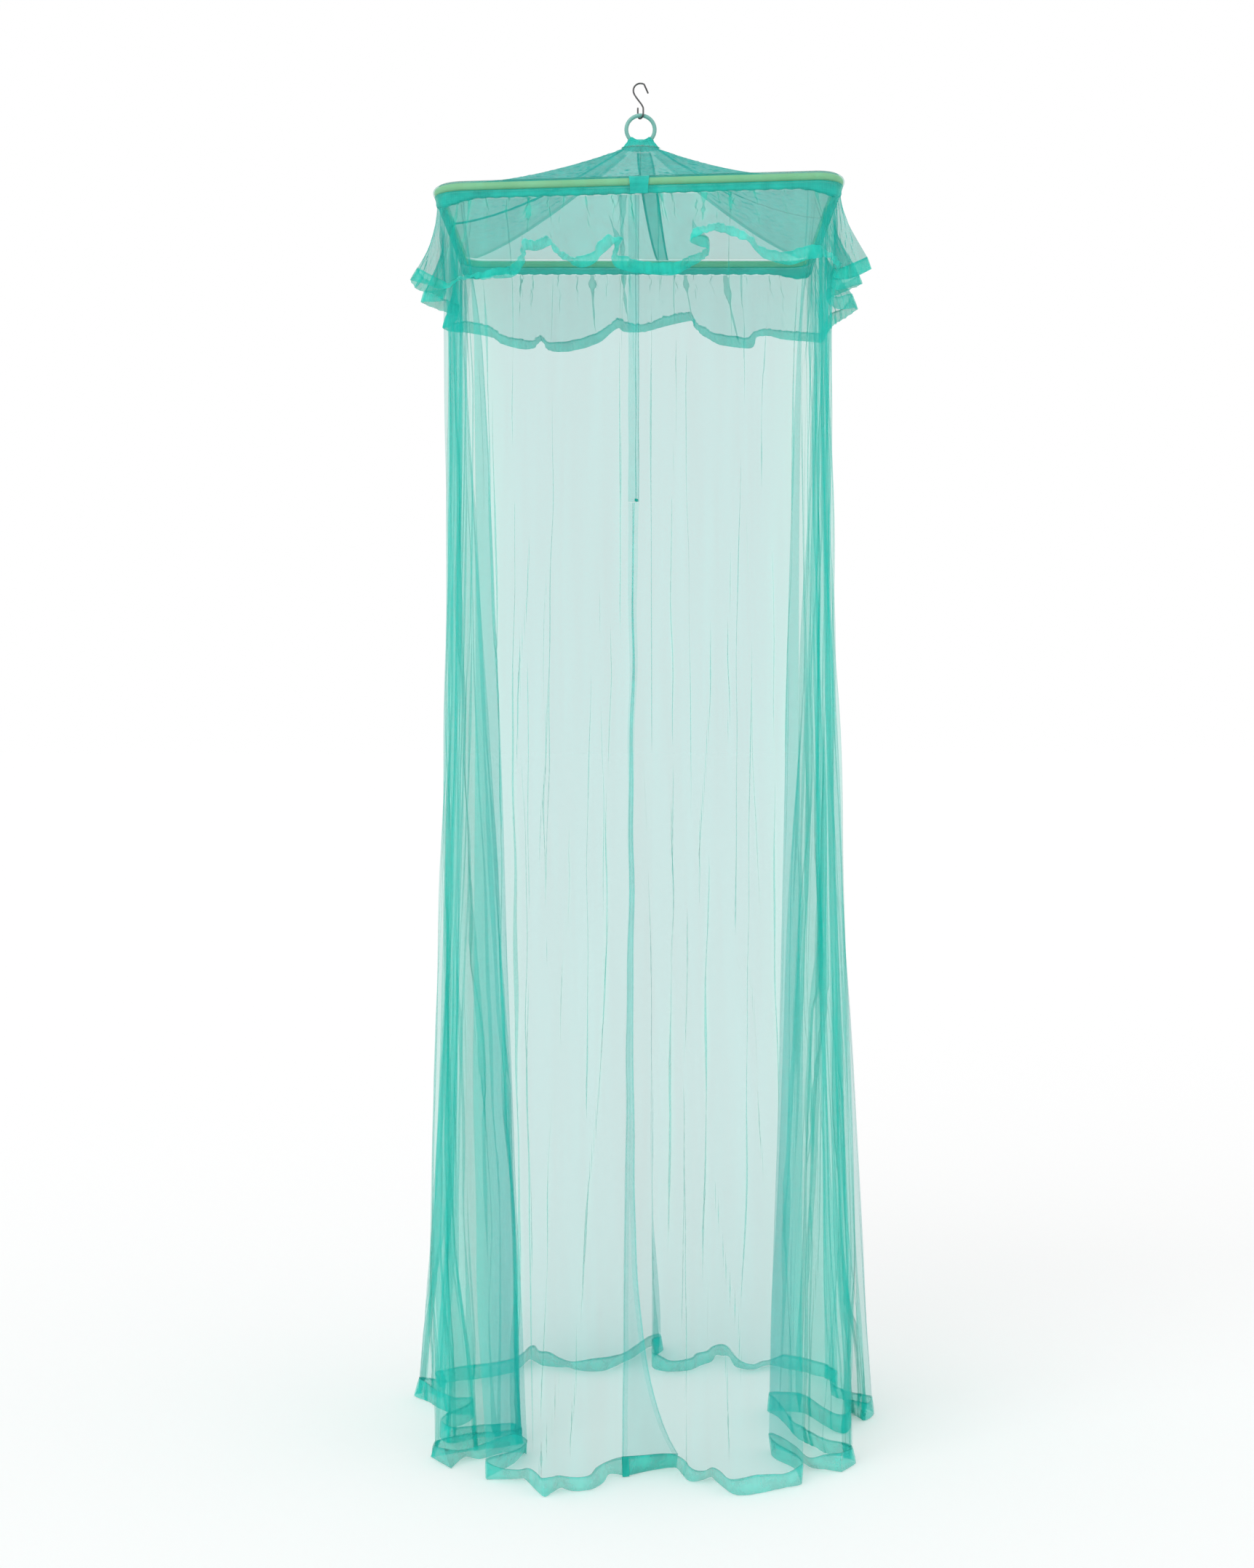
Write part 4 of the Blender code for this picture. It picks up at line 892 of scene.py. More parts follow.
def build_cuff(material, stitch):
    """The roof's neck folded up round the ring's lower arc, gathered by two rows of stitches."""
    columns = CUFF_COLUMNS
    angles = 2 * np.pi * np.arange(columns) / columns
    gathers = np.cos(22 * angles + 1.1 * np.sin(3 * angles)) + 0.5 * np.cos(41 * angles)
    grid = []
    for level in np.linspace(0, 1, CUFF_ROWS):
        ease = level**CUFF_EASE
        half_x = mix(CUFF_FOOT_HALF[0], CUFF_TOP_HALF[0], ease)
        half_y = mix(CUFF_FOOT_HALF[1], CUFF_TOP_HALF[1], ease)
        pinch = 1.0
        for place, width in STITCH_ROWS:
            pinch -= STITCH_PINCH * math.exp(-(((level - place) / width) ** 2))
        swell = pinch * (1 + CUFF_GATHER_DEPTH * gathers * (1 - CUFF_GATHER_EASE * level))
        x = half_x * swell * np.cos(angles)
        y = half_y * swell * np.sin(angles)
        top = np.minimum(over_ring(x, CUFF_OVER_RING[0]), CUFF_FOOT_Z + CUFF_HEIGHT * CUFF_TOP_MOST)
        z = mix(CUFF_FOOT_Z, np.maximum(top, CUFF_FOOT_Z + CUFF_HEIGHT * CUFF_TOP_LEAST), level)
        grid.append(np.stack([x, y, z], axis=-1))
    crown = grid[-1]
    for draw in CUFF_DRAWN_IN:
        inner = crown.copy()
        inner[:, :2] *= draw
        inner[:, 2] = np.minimum(crown[:, 2], over_ring(inner[:, 0], CUFF_OVER_RING[1]))
        grid.append(inner)
    cuff = grid_piece("cuff_gathers", grid, material, "net", closed=True)
    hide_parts("ring_cuff")

    points, faces = [], []
    for level, _ in STITCH_ROWS:
        row = grid[round(level * (CUFF_ROWS - 1))]
        for k in range(0, columns, STITCH_EVERY):
            a, b = row[k], row[(k + STITCH_LENGTH) % columns]
            out = np.array([a[0] / CUFF_FOOT_HALF[0] ** 2, a[1] / CUFF_FOOT_HALF[1] ** 2, 0])
            out = out / np.linalg.norm(out) * STITCH_HALF
            first = len(points)
            for place, rise in ((a, -1), (b, -1), (b, 1), (a, 1)):
                points.append(place + out + (0, 0, rise * STITCH_HALF))
            faces.append((first, first + 1, first + 2, first + 3))
    new_piece("cuff_stitches", points, faces, stitch, "net")


# Roof

def roof_points(side, share, row, drop=0.0):
    """Points of the roof cloth: row 0 is at the neck under the cuff, and row 1 lies on the casing."""
    edge, _ = perimeter(side, share, 0.0)
    angle = np.radians(-90 + 45 * share + 90 * side)
    neck_x = (CUFF_FOOT_HALF[0] * (1 - CUFF_GATHER_DEPTH) - NECK_MARGIN) * np.cos(angle)
    neck_y = (CUFF_FOOT_HALF[1] * (1 - CUFF_GATHER_DEPTH) - NECK_MARGIN) * np.sin(angle)
    x = mix(neck_x - FRAME_SHIFT, edge[0], row)
    y = mix(neck_y, edge[1], row)
    edge_z = FRAME_Z + CASING_RADIUS + CLOTH + tilt(x, y) * row
    z = edge_z + (ROOF_RISE - CLOTH_GAP) * (1 - row) ** ROOF_SAG_POWER - drop
    return np.stack([x, y, z], axis=-1)


def crinkle(points, height, seed):
    """A fine uneven relief that crosses the cloth in all directions."""
    chance = np.random.default_rng(seed)
    total = np.zeros(points.shape[:-1])
    for length in CRINKLE_LENGTHS:
        for _ in range(CRINKLE_WAYS):
            way = chance.uniform(0, np.pi)
            along = points[..., 0] * np.cos(way) + points[..., 1] * np.sin(way)
            phase = chance.uniform(0, 2 * np.pi)
            total += np.sin(2 * np.pi * along / length + phase) * (length / CRINKLE_LENGTHS[2])
    return height * total / len(CRINKLE_LENGTHS)


def build_roof(net, rear_net, trim):
    """Four roof cloths with pressed radial pleats, tapes on their hips and a strap at the rear."""
    rows = np.linspace(0, 1, ROOF_ROWS)[:, None]
    from_middle = np.arange(2 * ROOF_COLUMNS) - (ROOF_COLUMNS - 0.5)
    for side, name in enumerate(SIDES):
        fold = ROOF_FOLD if name in ("left", "right") else 0.0
        halves = [np.linspace(-1, fold, ROOF_COLUMNS), np.linspace(-fold, 1, ROOF_COLUMNS)]
        share = np.concatenate(halves)[None, :]
        grid = roof_points(side, np.repeat(share, len(rows), 0), np.repeat(rows, share.shape[1], 1))
        grid[..., 2] -= ROOF_FOLD_STEP * np.exp(-(from_middle / 3) ** 2) * np.sign(from_middle)
        free = np.sin(np.pi * np.clip(rows, 0, 1)) ** 0.5 * (1 - np.abs(share) ** 12)
        plain = 1 - 0.8 * np.exp(-(from_middle / 9) ** 2) * (fold > 0)
        grid[..., 2] += crinkle(grid, ROOF_CRINKLE, 10 + side) * free * plain
        grid[..., 2] += ROOF_PLEAT * np.sin(share * 31 + 2 * np.sin(share * 7)) * (1 - rows) * free
        grid[..., 2] -= ROOF_SAG * (1 - share**2) * np.sin(np.pi * rows)
        cloth = grid_piece(
            f"roof_cloth_{name}", shifted(grid), rear_net if name == "rear" else net, "net"
        )
        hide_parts(f"roof_{name}")

    for side, name in enumerate(CORNERS):
        rows = np.linspace(*TAPE_SPAN, 60)
        grid = []
        for row in rows:
            spread = TAPE_WIDTH / 2 / mix(CUFF_FOOT_HALF[1], SIDE_HALF, row)
            before = np.array([1 - spread, 1 - spread / 2, 1.0])
            after = np.array([spread / 2 - 1, spread - 1])
            near = roof_points(side, before, np.full(3, row), TAPE_DROP)
            far = roof_points((side + 1) % 4, after, np.full(2, row), TAPE_DROP)
            grid.append(np.concatenate([near, far]))
        tape = grid_piece(f"hip_tape_{name}", shifted(grid), trim, "net")
        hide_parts(f"roof_tape_{name}")

    rows = np.linspace(0.0, TAPE_SPAN[1], 80)
    grid = []
    for row in rows:
        middle = mix(STRAP_NECK_X, STRAP_FOOT_X, row)
        half = mix(STRAP_NECK_WIDTH, STRAP_FOOT_WIDTH, row) / 2
        reach = mix(CUFF_FOOT_HALF[0], SIDE_HALF, row)
        steps = np.array(STRAP_STEPS) * half
        points = roof_points(2, (steps - middle) / reach, np.full(len(steps), row))
        points[:, 2] -= np.array(STRAP_DROPS) + ROOF_SAG * np.sin(np.pi * row)
        grid.append(points)
    strap = grid_piece("roof_strap_folded", shifted(grid), trim, "net")
    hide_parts("rear_roof_strap")


# Frame and casing

def frame_path(side, start, end, count):
    """Points on the frame's centreline of one side between two shares of its half side."""
    share = np.linspace(start, end, count)
    (x, y), _ = perimeter(side, share, 0.0)
    return np.stack([x, y, FRAME_Z + tilt(x, y)], axis=-1)


def build_frame(lime):
    """Straight tubes, and corner elbows that are a little fatter at their sleeves."""
    straight = STRAIGHT_HALF / SIDE_HALF
    for side, name in enumerate(SIDES):
        tube = tube_along(
            f"tube_{name}", shifted(frame_path(side, -straight + 0.001, straight - 0.001, 40)),
            TUBE_RADIUS * 0.985, 28, lime, "net",
        )
        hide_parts(f"frame_tube_{name}")
    for side, name in enumerate(CORNERS):
        first = frame_path(side, straight, 1.0, 14)
        second = frame_path((side + 1) % 4, -1.0, -straight, 14)
        path = shifted(np.concatenate([first, second[1:]]))
        elbow = tube_along(f"elbow_{name}", path, TUBE_RADIUS, 28, lime, "net")
        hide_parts(f"frame_elbow_{name}")


def build_casing(net, band, trim):
    """The thin sleeve over each tube, the dense band sewn below it, and the tab over the front."""
    for side, name in enumerate(SIDES):
        share = np.linspace(-1, 1, 200)
        base, normal = perimeter(side, share, 0.0)

        def swept(profile):
            grid = []
            for out, up in profile:
                x = base[0] + normal[0] * out
                y = base[1] + normal[1] * out
                grid.append(np.stack([x, y, FRAME_Z + up + tilt(x, y)], axis=-1))
            return shifted(grid)

        turns = np.radians(np.linspace(*SLEEVE_TURNS, 28))
        sleeve = grid_piece(
            f"casing_sleeve_{name}",
            swept([(CASING_RADIUS * math.cos(t), CASING_RADIUS * math.sin(t)) for t in turns]),
            net, "net",
        )

        jag = BAND_JAG * ripple(share * SIDE_HALF, BAND_JAG_WAVES, side)
        radius = CASING_RADIUS + BAND_OVER_SLEEVE
        profile = [(radius * math.cos(t), radius * math.sin(t)) for t in np.radians(BAND_TURNS)]
        profile.append((BAND_HALF + BAND_SHOULDER[0], -BAND_FOOT + BAND_SHOULDER[1]))
        profile.append((BAND_HALF, -BAND_FOOT + BAND_ROUND))
        profile = profile + [(-out, up) for out, up in reversed(profile)]
        grid = swept(profile)
        middle = len(profile) // 2
        droop = CORNER_DROOP * smooth_step((np.abs(share) - CORNER_DROOP_FROM) / (1 - CORNER_DROOP_FROM))
        grid[middle - 2 : middle + 2, :, 2] -= droop
        grid[middle - 1 : middle + 1, :, 2] += jag
        lower = grid_piece(f"casing_band_{name}", grid, band, "net")
        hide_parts(f"casing_{name}")

    radius = CASING_RADIUS + TAB_OVER_SLEEVE
    wrap = [(BAND_HALF + TAB_FOOT_OUT, -BAND_FOOT), (BAND_HALF + TAB_BEND_OUT, TAB_BEND_UP)]
    wrap += [(radius * math.cos(t), radius * math.sin(t)) for t in np.radians(np.linspace(-45, 100, 12))]
    grid = []
    for k, (out, up) in enumerate(wrap):
        half = mix(TAB_FOOT_WIDTH, TAB_TOP_WIDTH, k / (len(wrap) - 1)) / 2
        x = np.linspace(-half, half, 15)
        y = np.full(15, -FRAME_HALF - out)
        grid.append(np.stack([x, y, FRAME_Z + up + tilt(x, y)], axis=-1))
    tab = grid_piece("tab_over_tube", shifted(grid), trim, "net")
    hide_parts("door_top_tab")


# Cloth with pressed folds

def fold_in(grid, folds, relief, settle=True):
    """A cloth's fine grid with its pressed folds, the directions square to it, and the share of painted light
    at each point, where folded layers are painted brighter.

    A fold is three layers, one over the other. It has a place along the cloth and a width at every row.
    A cloth that settles loses most of its ripples near its foot.
    """
    rows, count = grid.shape[:2]
    places = np.arange(count)
    steps = np.linalg.norm(np.diff(grid, axis=1), axis=-1)
    lengths = np.concatenate([np.zeros((rows, 1)), np.cumsum(steps, axis=1)], axis=1)
    middle = lengths[round((rows - 1) * MEASURED_ROW)]
    columns = [np.arange(0, middle[-1], COLUMN_STEP), middle[-1:]]
    for place, width in folds:
        open_rows = width > FOLD_LEAST
        if open_rows.any():
            near = np.interp(place[open_rows], places, middle)
            room = FOLD_ROOM * width.max()
            step = max(FINEST_STEP, width[open_rows].mean() / 3)
            columns.append(np.arange(near.min() - room, near.max() + room, step))
    columns = np.clip(np.concatenate(columns), 0, middle[-1])
    columns = np.unique(np.round(columns / COLUMN_GRAIN) * COLUMN_GRAIN)
    columns[-1] = middle[-1]
    index = np.interp(columns, middle, places)
    normals = np.cross(np.gradient(grid, axis=0), np.gradient(grid, axis=1))
    normals /= np.linalg.norm(normals, axis=-1)[..., None] + 1e-12
    result, squares, painted_glow_share = [], [], []
    for r in range(rows):
        along = np.interp(index, places, lengths[r])
        lift = relief(columns, r / (rows - 1))
        if settle:
            lift = lift * (1 - SETTLE * smooth_step((r / (rows - 1) - SETTLE_FROM) / SETTLE_EASE))
        lift = lift * np.clip(np.minimum(columns, middle[-1] - columns) / CALM_EDGE, 0, 1)
        # Share of painted light: the folded layers are painted brighter.
        painted_glow = np.zeros_like(along)
        for place, width in folds:
            if width[r] <= FOLD_LEAST:
                continue
            start = np.interp(place[r], places, lengths[r])
            u = (along - start) / width[r]
            folded = start + width[r] * np.interp(u, (-1.5, -0.5, 0.5, 1.5), (-1.5, 0.5, -0.5, 1.5))
            along = np.where(np.abs(u) < 1.5, folded, along)
            lift = lift + FOLD_LIFT * np.interp(u, (-1.5, -0.5, 0.5, 1.5), (0, -1, 1, 0))
            painted_glow = np.maximum(painted_glow, np.clip(2 - np.abs(u), 0, 1))
        along = np.clip(along, 0, lengths[r, -1])
        row = np.stack([np.interp(along, lengths[r], grid[r, :, k]) for k in range(3)], axis=-1)
        square = np.stack([np.interp(along, lengths[r], normals[r, :, k]) for k in range(3)], axis=-1)
        result.append(row + square * lift[:, None])
        squares.append(square)
        painted_glow_share.append(painted_glow)
    return np.array(result), np.array(squares), np.array(painted_glow_share)


def fold_between(rows, first, last, widths, wander=0.0):
    """A fold between two places (row, column) of a fine grid, which wanders and runs out at both ends."""
    row = np.arange(rows)
    share = (row - first[0]) / max(last[0] - first[0], 1)
    inside = np.clip(share, 0, 1)
    turns = (last[0] - first[0]) / rows
    sway = np.sin(5.1 * inside + first[1]) + 0.5 * np.sin(26 * turns * inside + 2 * first[1])
    sway = sway + 0.25 * np.sin(61 * turns * inside + 3 * first[1])
    place = mix(first[1], last[1], share) + wander * sway * np.sin(np.pi * inside) ** 0.5
    swell = np.sin(9.3 * inside + first[1]) + 0.5 * np.sin(17 * inside + 3 * first[1])
    width = mix(widths[0], widths[1], inside) * (1 + 0.45 * swell)
    past = np.maximum(first[0] - row, row - last[0]).clip(0)
    return place, width * np.clip(1 - past / 2.5, 0, 1)


def fold_seen(grid, ends):
    """The fold of a fine grid that the camera sees between two pixels."""
    px, py = to_pixels(grid)
    column = np.arange(grid.shape[1])[None, :]
    first = np.unravel_index(np.argmin((px - ends[0]) ** 2 + (py - ends[1]) ** 2), px.shape)
    cost = (px - ends[2]) ** 2 + (py - ends[3]) ** 2 + (0.03 * (column - first[1])) ** 2
    last = np.unravel_index(np.argmin(cost), px.shape)
    return fold_between(grid.shape[0], first, last, ends[4:], 0.0045 * grid.shape[1])


def scattered_folds(grid, count, seed, widths, reach, from_top):
    """Small folds spread evenly along a cloth, of uneven widths and lengths."""
    chance = np.random.default_rng(seed)
    rows, columns = grid.shape[:2]
    folds = []
    for k in range(count):
        share = (k + 0.5 + chance.uniform(-SCATTER_STRAY, SCATTER_STRAY)) / count
        place = (SCATTER_MARGIN + (1 - 2 * SCATTER_MARGIN) * share) * columns
        start = 0 if from_top else chance.uniform(*SCATTER_STARTS) * rows
        end = min(rows - 1, start + chance.uniform(*reach) * rows)
        width = chance.uniform(*widths)
        slant = chance.uniform(-SCATTER_SLANT, SCATTER_SLANT) * columns
        ends = (width, width * 0.15) if from_top else (width * 0.3, width)
        folds.append(fold_between(rows, (start, place), (end, place + slant), ends, SCATTER_WANDER * columns))
    return folds


def pleats(seed, waves, rise):
    """Relief of a hanging cloth: upright ripples whose place and height drift on the way down."""
    chance = np.random.default_rng(seed)
    draws = []
    for length, height in waves:
        draws.append((length, height, *chance.uniform(0, 2 * np.pi, 3), chance.uniform(-1.6, 1.6)))

    def relief(along, row):
        total = np.zeros_like(along)
        for length, height, phase, sway, swell, drift in draws:
            turn = 2 * np.pi * (along / length + drift * math.sin(4.2 * row + sway)) + phase
            total += height * (0.55 + 0.45 * np.sin(along / 0.043 + 7 * row + swell)) * np.sin(turn)
        return total * rise(row)

    return relief


def hem_band(name, rows, squares, material, body):
    """A hem turned up on itself: two layers down to a rounded fold at its foot."""
    count = len(rows) - 1
    levels = np.linspace(0, 0.97, 4)
    profile = [(share, HEM_HALF + HEM_SWELL * math.sin(math.pi * share)) for share in levels]
    profile = profile + [(1.0, 0.0)] + [(share, -lift) for share, lift in reversed(profile)]
    profile.append(HEM_TURN_IN)
    grid = []
    for share, lift in profile:
        k = min(int(share * count), count - 1)
        row = mix(rows[k], rows[k + 1], share * count - k)
        square = mix(squares[k], squares[k + 1], share * count - k)
        grid.append(row + square * lift)
    return grid_piece(name, grid, material, body)


# Walls

def floor_hem(name, place):
    """Seam and lower edge of a floor hem at places between its wall's fold lines."""
    table = np.asarray(FLOOR_HEMS[name], float)
    _, px, py, low_x, low_y = along_curve(table, np.interp(place, table[:, 0], np.arange(len(table)))).T
    ray = pixel_ray(low_x, low_y)
    foot = CAMERA + ray * ((FLOOR_Z + 0.0006 - CAMERA[2]) / ray[:, 2])[:, None]
    return reach_along_ray(px, py, foot, FLOOR_HEM, False), foot


def wall_points(name, place, rows):
    """Points of a wall at places between its fold lines, for shares of its height."""
    side = SIDES.index(name.split("_")[0])
    table = FOLD_LINES[name]
    share, inset, floor_x, floor_y = along_curve(table, place).T
    (top_x, top_y), _ = perimeter(side, share, -CLOTH_SIDE_STEP - inset)
    along = place / (len(table) - 1)
    if name == "front_right":
        along = 1 - along
    pull = np.zeros_like(along)
    if side == 0:
        pull = smooth_step((along - DOOR_PULL_FROM) / (DOOR_PULL_TO - DOOR_PULL_FROM))
    row = np.asarray(rows)[:, None]
    out = np.abs(floor_x)
    beside = smooth_step((out - HANG_FROM[0]) / HANG_FROM[1]) * smooth_step((HANG_TO[0] - out) / HANG_TO[1])
    hang = SIDE_HANG * beside * (1 - RIGHT_HANG_LESS * (floor_x > 0))
    power = SPREAD_POWER - SPREAD_TO_RIGHT * floor_x + SPREAD_TO_REAR * floor_y + hang
    inward = smooth_step((np.abs(top_x) - out * FRAME_HALF - INNER_FROM) / INNER_EASE)
    spread = mix(row**power, row**INNER_POWER, inward)
    door = (np.maximum(0, row - TACK_SHARE) / (1 - TACK_SHARE)) ** DOOR_FLARE.get(name, 1.0)
    down = mix(spread, door, pull[None, :])
    free = smooth_step((row - TACK_SHARE) / 0.1) * (1 - row)
    sway = DOOR_SWAY * free * (np.sin(33 * row + 2 * along) + 0.6 * np.sin(71 * row)) * pull
    lower, upper = TUCK_EASE
    drawn = smooth_step(row / TUCK_TOP) * (1 - smooth_step((row - lower) / (upper - lower)))
    tuck = CORNER_TUCK * drawn * smooth_step((np.abs(share) - CORNER_TUCK_FROM) / (1 - CORNER_TUCK_FROM))
    x = mix(top_x, floor_x * FRAME_HALF, down) - np.copysign(tuck, top_x) + sway
    y = mix(top_y, floor_y * FRAME_HALF, down) - np.copysign(tuck, top_y)
    z = CLOTH_TOP_Z - row * WALL_HEIGHT + tilt(x, y) * (1 - row)
    points = shifted(np.stack([x, y, z], axis=-1))
    seam, _ = floor_hem(name, place)
    last = np.stack([floor_x * FRAME_HALF, floor_y * FRAME_HALF, np.full_like(floor_x, WALL_FOOT_Z)], axis=-1)
    hold = smooth_step((row - HEM_HOLD) / (1 - HEM_HOLD))[..., None]
    return points + hold * (seam - shifted(last))


def wall_rows(name):
    rows = np.linspace(0, 1, WALL_ROWS[name])
    if name.startswith("front"):
        return np.sort(np.append(rows, TACK_SHARE))
    return np.unique(np.append(rows, np.linspace(0, 0.09, 10)))


def draws_aside(piece):
    """Bakes the piece's placing into its mesh."""
    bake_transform(piece)


def side_rise(row):
    """Height of a side wall's ripples, which set in below the casing and grow downwards."""
    return (0.4 + 0.6 * min(1.0, row / 0.06)) * (0.8 + 0.4 * row)


def plain_rise(row):
    """Height of a front or rear wall's ripples."""
    return 0.6 * (0.3 + 0.7 * min(1.0, row / 0.06))


def frill_rise(row):
    """Height of a frill's ripples, which open towards its hem."""
    return 0.15 + 1.45 * row


def build_walls(net, hem):
    """The five wall cloths and the hems under them."""
    for k, name in enumerate(FOLD_LINES):
        front = name.startswith("front")
        place = np.linspace(0, len(FOLD_LINES[name]) - 1, 1400)
        rows = wall_rows(name)
        grid = wall_points(name, place, rows)
        _, foot = floor_hem(name, place)
        grid = np.concatenate([grid, [mix(grid[-1], foot, 0.5), foot]])
        folds = [fold_seen(grid, ends) for ends in WALL_CREASES.get(name, ())]
        for number, seed, *rest in WALL_SCATTER[name.split("_")[0]]:
            folds += scattered_folds(grid, number, seed + k, *rest)
        if name in ("left", "right"):
            relief = pleats(20 + k, WALL_WAVES + BROAD_WAVES, side_rise)
        else:
            relief = pleats(20 + k, WALL_WAVES[2:], plain_rise)
        cloth, squares, painted_glow_share = fold_in(grid, folds, relief)
        # Painted light: the corner bundles are painted brighter, standing in for light that passes through
        # their many layers.
        across = np.abs(cloth[..., 0])
        rim = PAINTED_GLOW_RIM + PAINTED_GLOW_FLARE * (CLOTH_TOP_Z - cloth[..., 2]) / WALL_HEIGHT
        begun = smooth_step((across - PAINTED_GLOW_FROM) / PAINTED_GLOW_EASE)
        painted_bundle_glow = begun * (1 - smooth_step((across - rim) / PAINTED_GLOW_RIM_EASE))
        painted_glow_share = np.maximum(painted_glow_share, painted_bundle_glow)
        body = None if front else "net"
        wall = grid_piece(f"cloth_wall_{name}", cloth[:-2], net, body, painted_glow=painted_glow_share[:-2])
        band = hem_band(f"hem_floor_{name}", cloth[-3:], squares[-3:], hem, body)
        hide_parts(f"wall_{name}")
        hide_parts(f"floor_hem_{name}")
        if front:
            draws_aside(wall)
            draws_aside(band)


def build_door(trim, edge_cloth, thread):
    """The doubled seam above the bar tack, the tack, the rolled leading edges and the tab at the floor."""
    wall_y = -FRAME_HALF + CLOTH_SIDE_STEP
    grid = []
    for z in np.linspace(CLOTH_TOP_Z, TACK_Z, 40):
        row = []
        for k, x in enumerate(SEAM_COLUMNS):
            wave = 0.0004 * math.sin(z * 47 + k)
            row.append((DOOR_SPLIT_X + x + wave, wall_y + DOOR_STEP + 0.0019 + 0.00012 * k, z))
        grid.append(row)
    seam = grid_piece("door_seam_strip", shifted(grid), trim, "net")
    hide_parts("door_top_seam")

    points = []
    for k in range(TACK_LOOPS * 8 + 1):
        turn = k / 8
        x = DOOR_SPLIT_X + DOOR_BAND / 2 + TACK_REACH * math.sin(2 * math.pi * turn)
        z = TACK_Z + TACK_RISE * (k / (TACK_LOOPS * 8))
        y = wall_y - DOOR_STEP - 0.0016 - 0.0003 * math.cos(2 * math.pi * turn)
        points.append((x + FRAME_SHIFT, y, z))
    tack = tube_along("bar_tack_stitches", points, TACK_THREAD, 8, thread, "net")
    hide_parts("bar_tack")

    rows = np.linspace(TACK_SHARE + 0.0006, 0.9997, 60)
    for name in ("front_left", "front_right"):
        last = len(FOLD_LINES[name]) - 1
        near = np.array([last, last - EDGE_LOOK] if name == "front_left" else [0.0, EDGE_LOOK])
        pair = wall_points(name, near, rows)
        edge = pair[:, 0]
        inward = pair[:, 1] - pair[:, 0]
        inward[:, 2] = 0
        inward /= np.linalg.norm(inward, axis=1)[:, None]
        off = np.stack([-inward[:, 1], inward[:, 0], np.zeros(len(rows))], axis=-1)
        face = 1.0 if name == "front_left" else -1.0
        off *= np.where(off[:, 1] * face > 0, 1.0, -1.0)[:, None]
        grid = []
        for k in range(len(rows)):
            wave = 0.0003 * math.sin(rows[k] * 90)
            grid.append([edge[k] + inward[k] * (x + wave) + off[k] * y for x, y in EDGE_STATIONS])
        piece = grid_piece(f"rolled_edge_{name}", grid, edge_cloth, None)
        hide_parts(f"{name.split('_')[1]}_door_edge")
        draws_aside(piece)

    pair, low = floor_hem("front_right", np.array([0.0, EDGE_LOOK]))
    inward = pair[1] - pair[0]
    inward[2] = 0
    inward /= np.linalg.norm(inward)
    off = np.array([inward[1], -inward[0], 0.0])
    off *= -1.0 if off[1] > 0 else 1.0
    grid = []
    for share in np.linspace(0, 1, 9):
        edge = mix(pair[0], low[0], share)
        swell = 0.0022 + 0.0005 * math.sin(math.pi * share)
        grid.append([edge + inward * x + off * (swell + lift) for x, lift in TAB_STATIONS])
    tab = grid_piece("hem_tab_fold", grid, thread, None)
    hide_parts("door_hem_tab")
    draws_aside(tab)


# Frill

def frill_anchor(side, share):
    (x, y), (nx, ny) = perimeter(side, share, CLOTH_SIDE_STEP)
    anchor = shifted(np.stack([x, y, CLOTH_TOP_Z + tilt(x, y)], axis=-1))
    return anchor, np.stack([nx, ny, np.zeros_like(nx)], axis=-1)


def seen_frill(side, table, away, count):
    """Anchors, seam and lower edge of a frill whose hem the camera sees at these pixels."""
    table = np.asarray(table, float)
    steps = np.hypot(np.diff(table[:, 0]), 0.35 * np.diff(table[:, 1]))
    reach = np.concatenate([[0], np.cumsum(steps)])
    places = np.interp(np.linspace(0, reach[-1], count), reach, np.arange(len(table)))
    px, py, low_x, low_y = along_curve(table, places).T
    share = np.linspace(-1, 1, count)
    if away:
        share = -share
    anchor, _ = frill_anchor(side, share)
    seam = reach_along_ray(px, py, anchor, FRILL_LENGTH, away)
    foot = reach_along_ray(low_x, low_y, seam, FRILL_HEM, away)
    if away:
        return anchor[::-1], seam[::-1], foot[::-1]
    return anchor, seam, foot


def side_frill(side, table, count):
    """Anchors, seam and lower edge of a side frill whose hem the camera sees at these pixels."""
    table = np.asarray(table, float)
    places = np.interp(np.linspace(-1, 1, count), table[:, 0], np.arange(len(table)))
    share, px, py, low_x, low_y = along_curve(table, places).T
    anchor, _ = frill_anchor(side, np.linspace(-1, 1, count))
    depth = frill_anchor(side, share)[0][:, 1:2] - CAMERA[1]
    return anchor, CAMERA + pixel_ray(px, py) * depth, CAMERA + pixel_ray(low_x, low_y) * depth


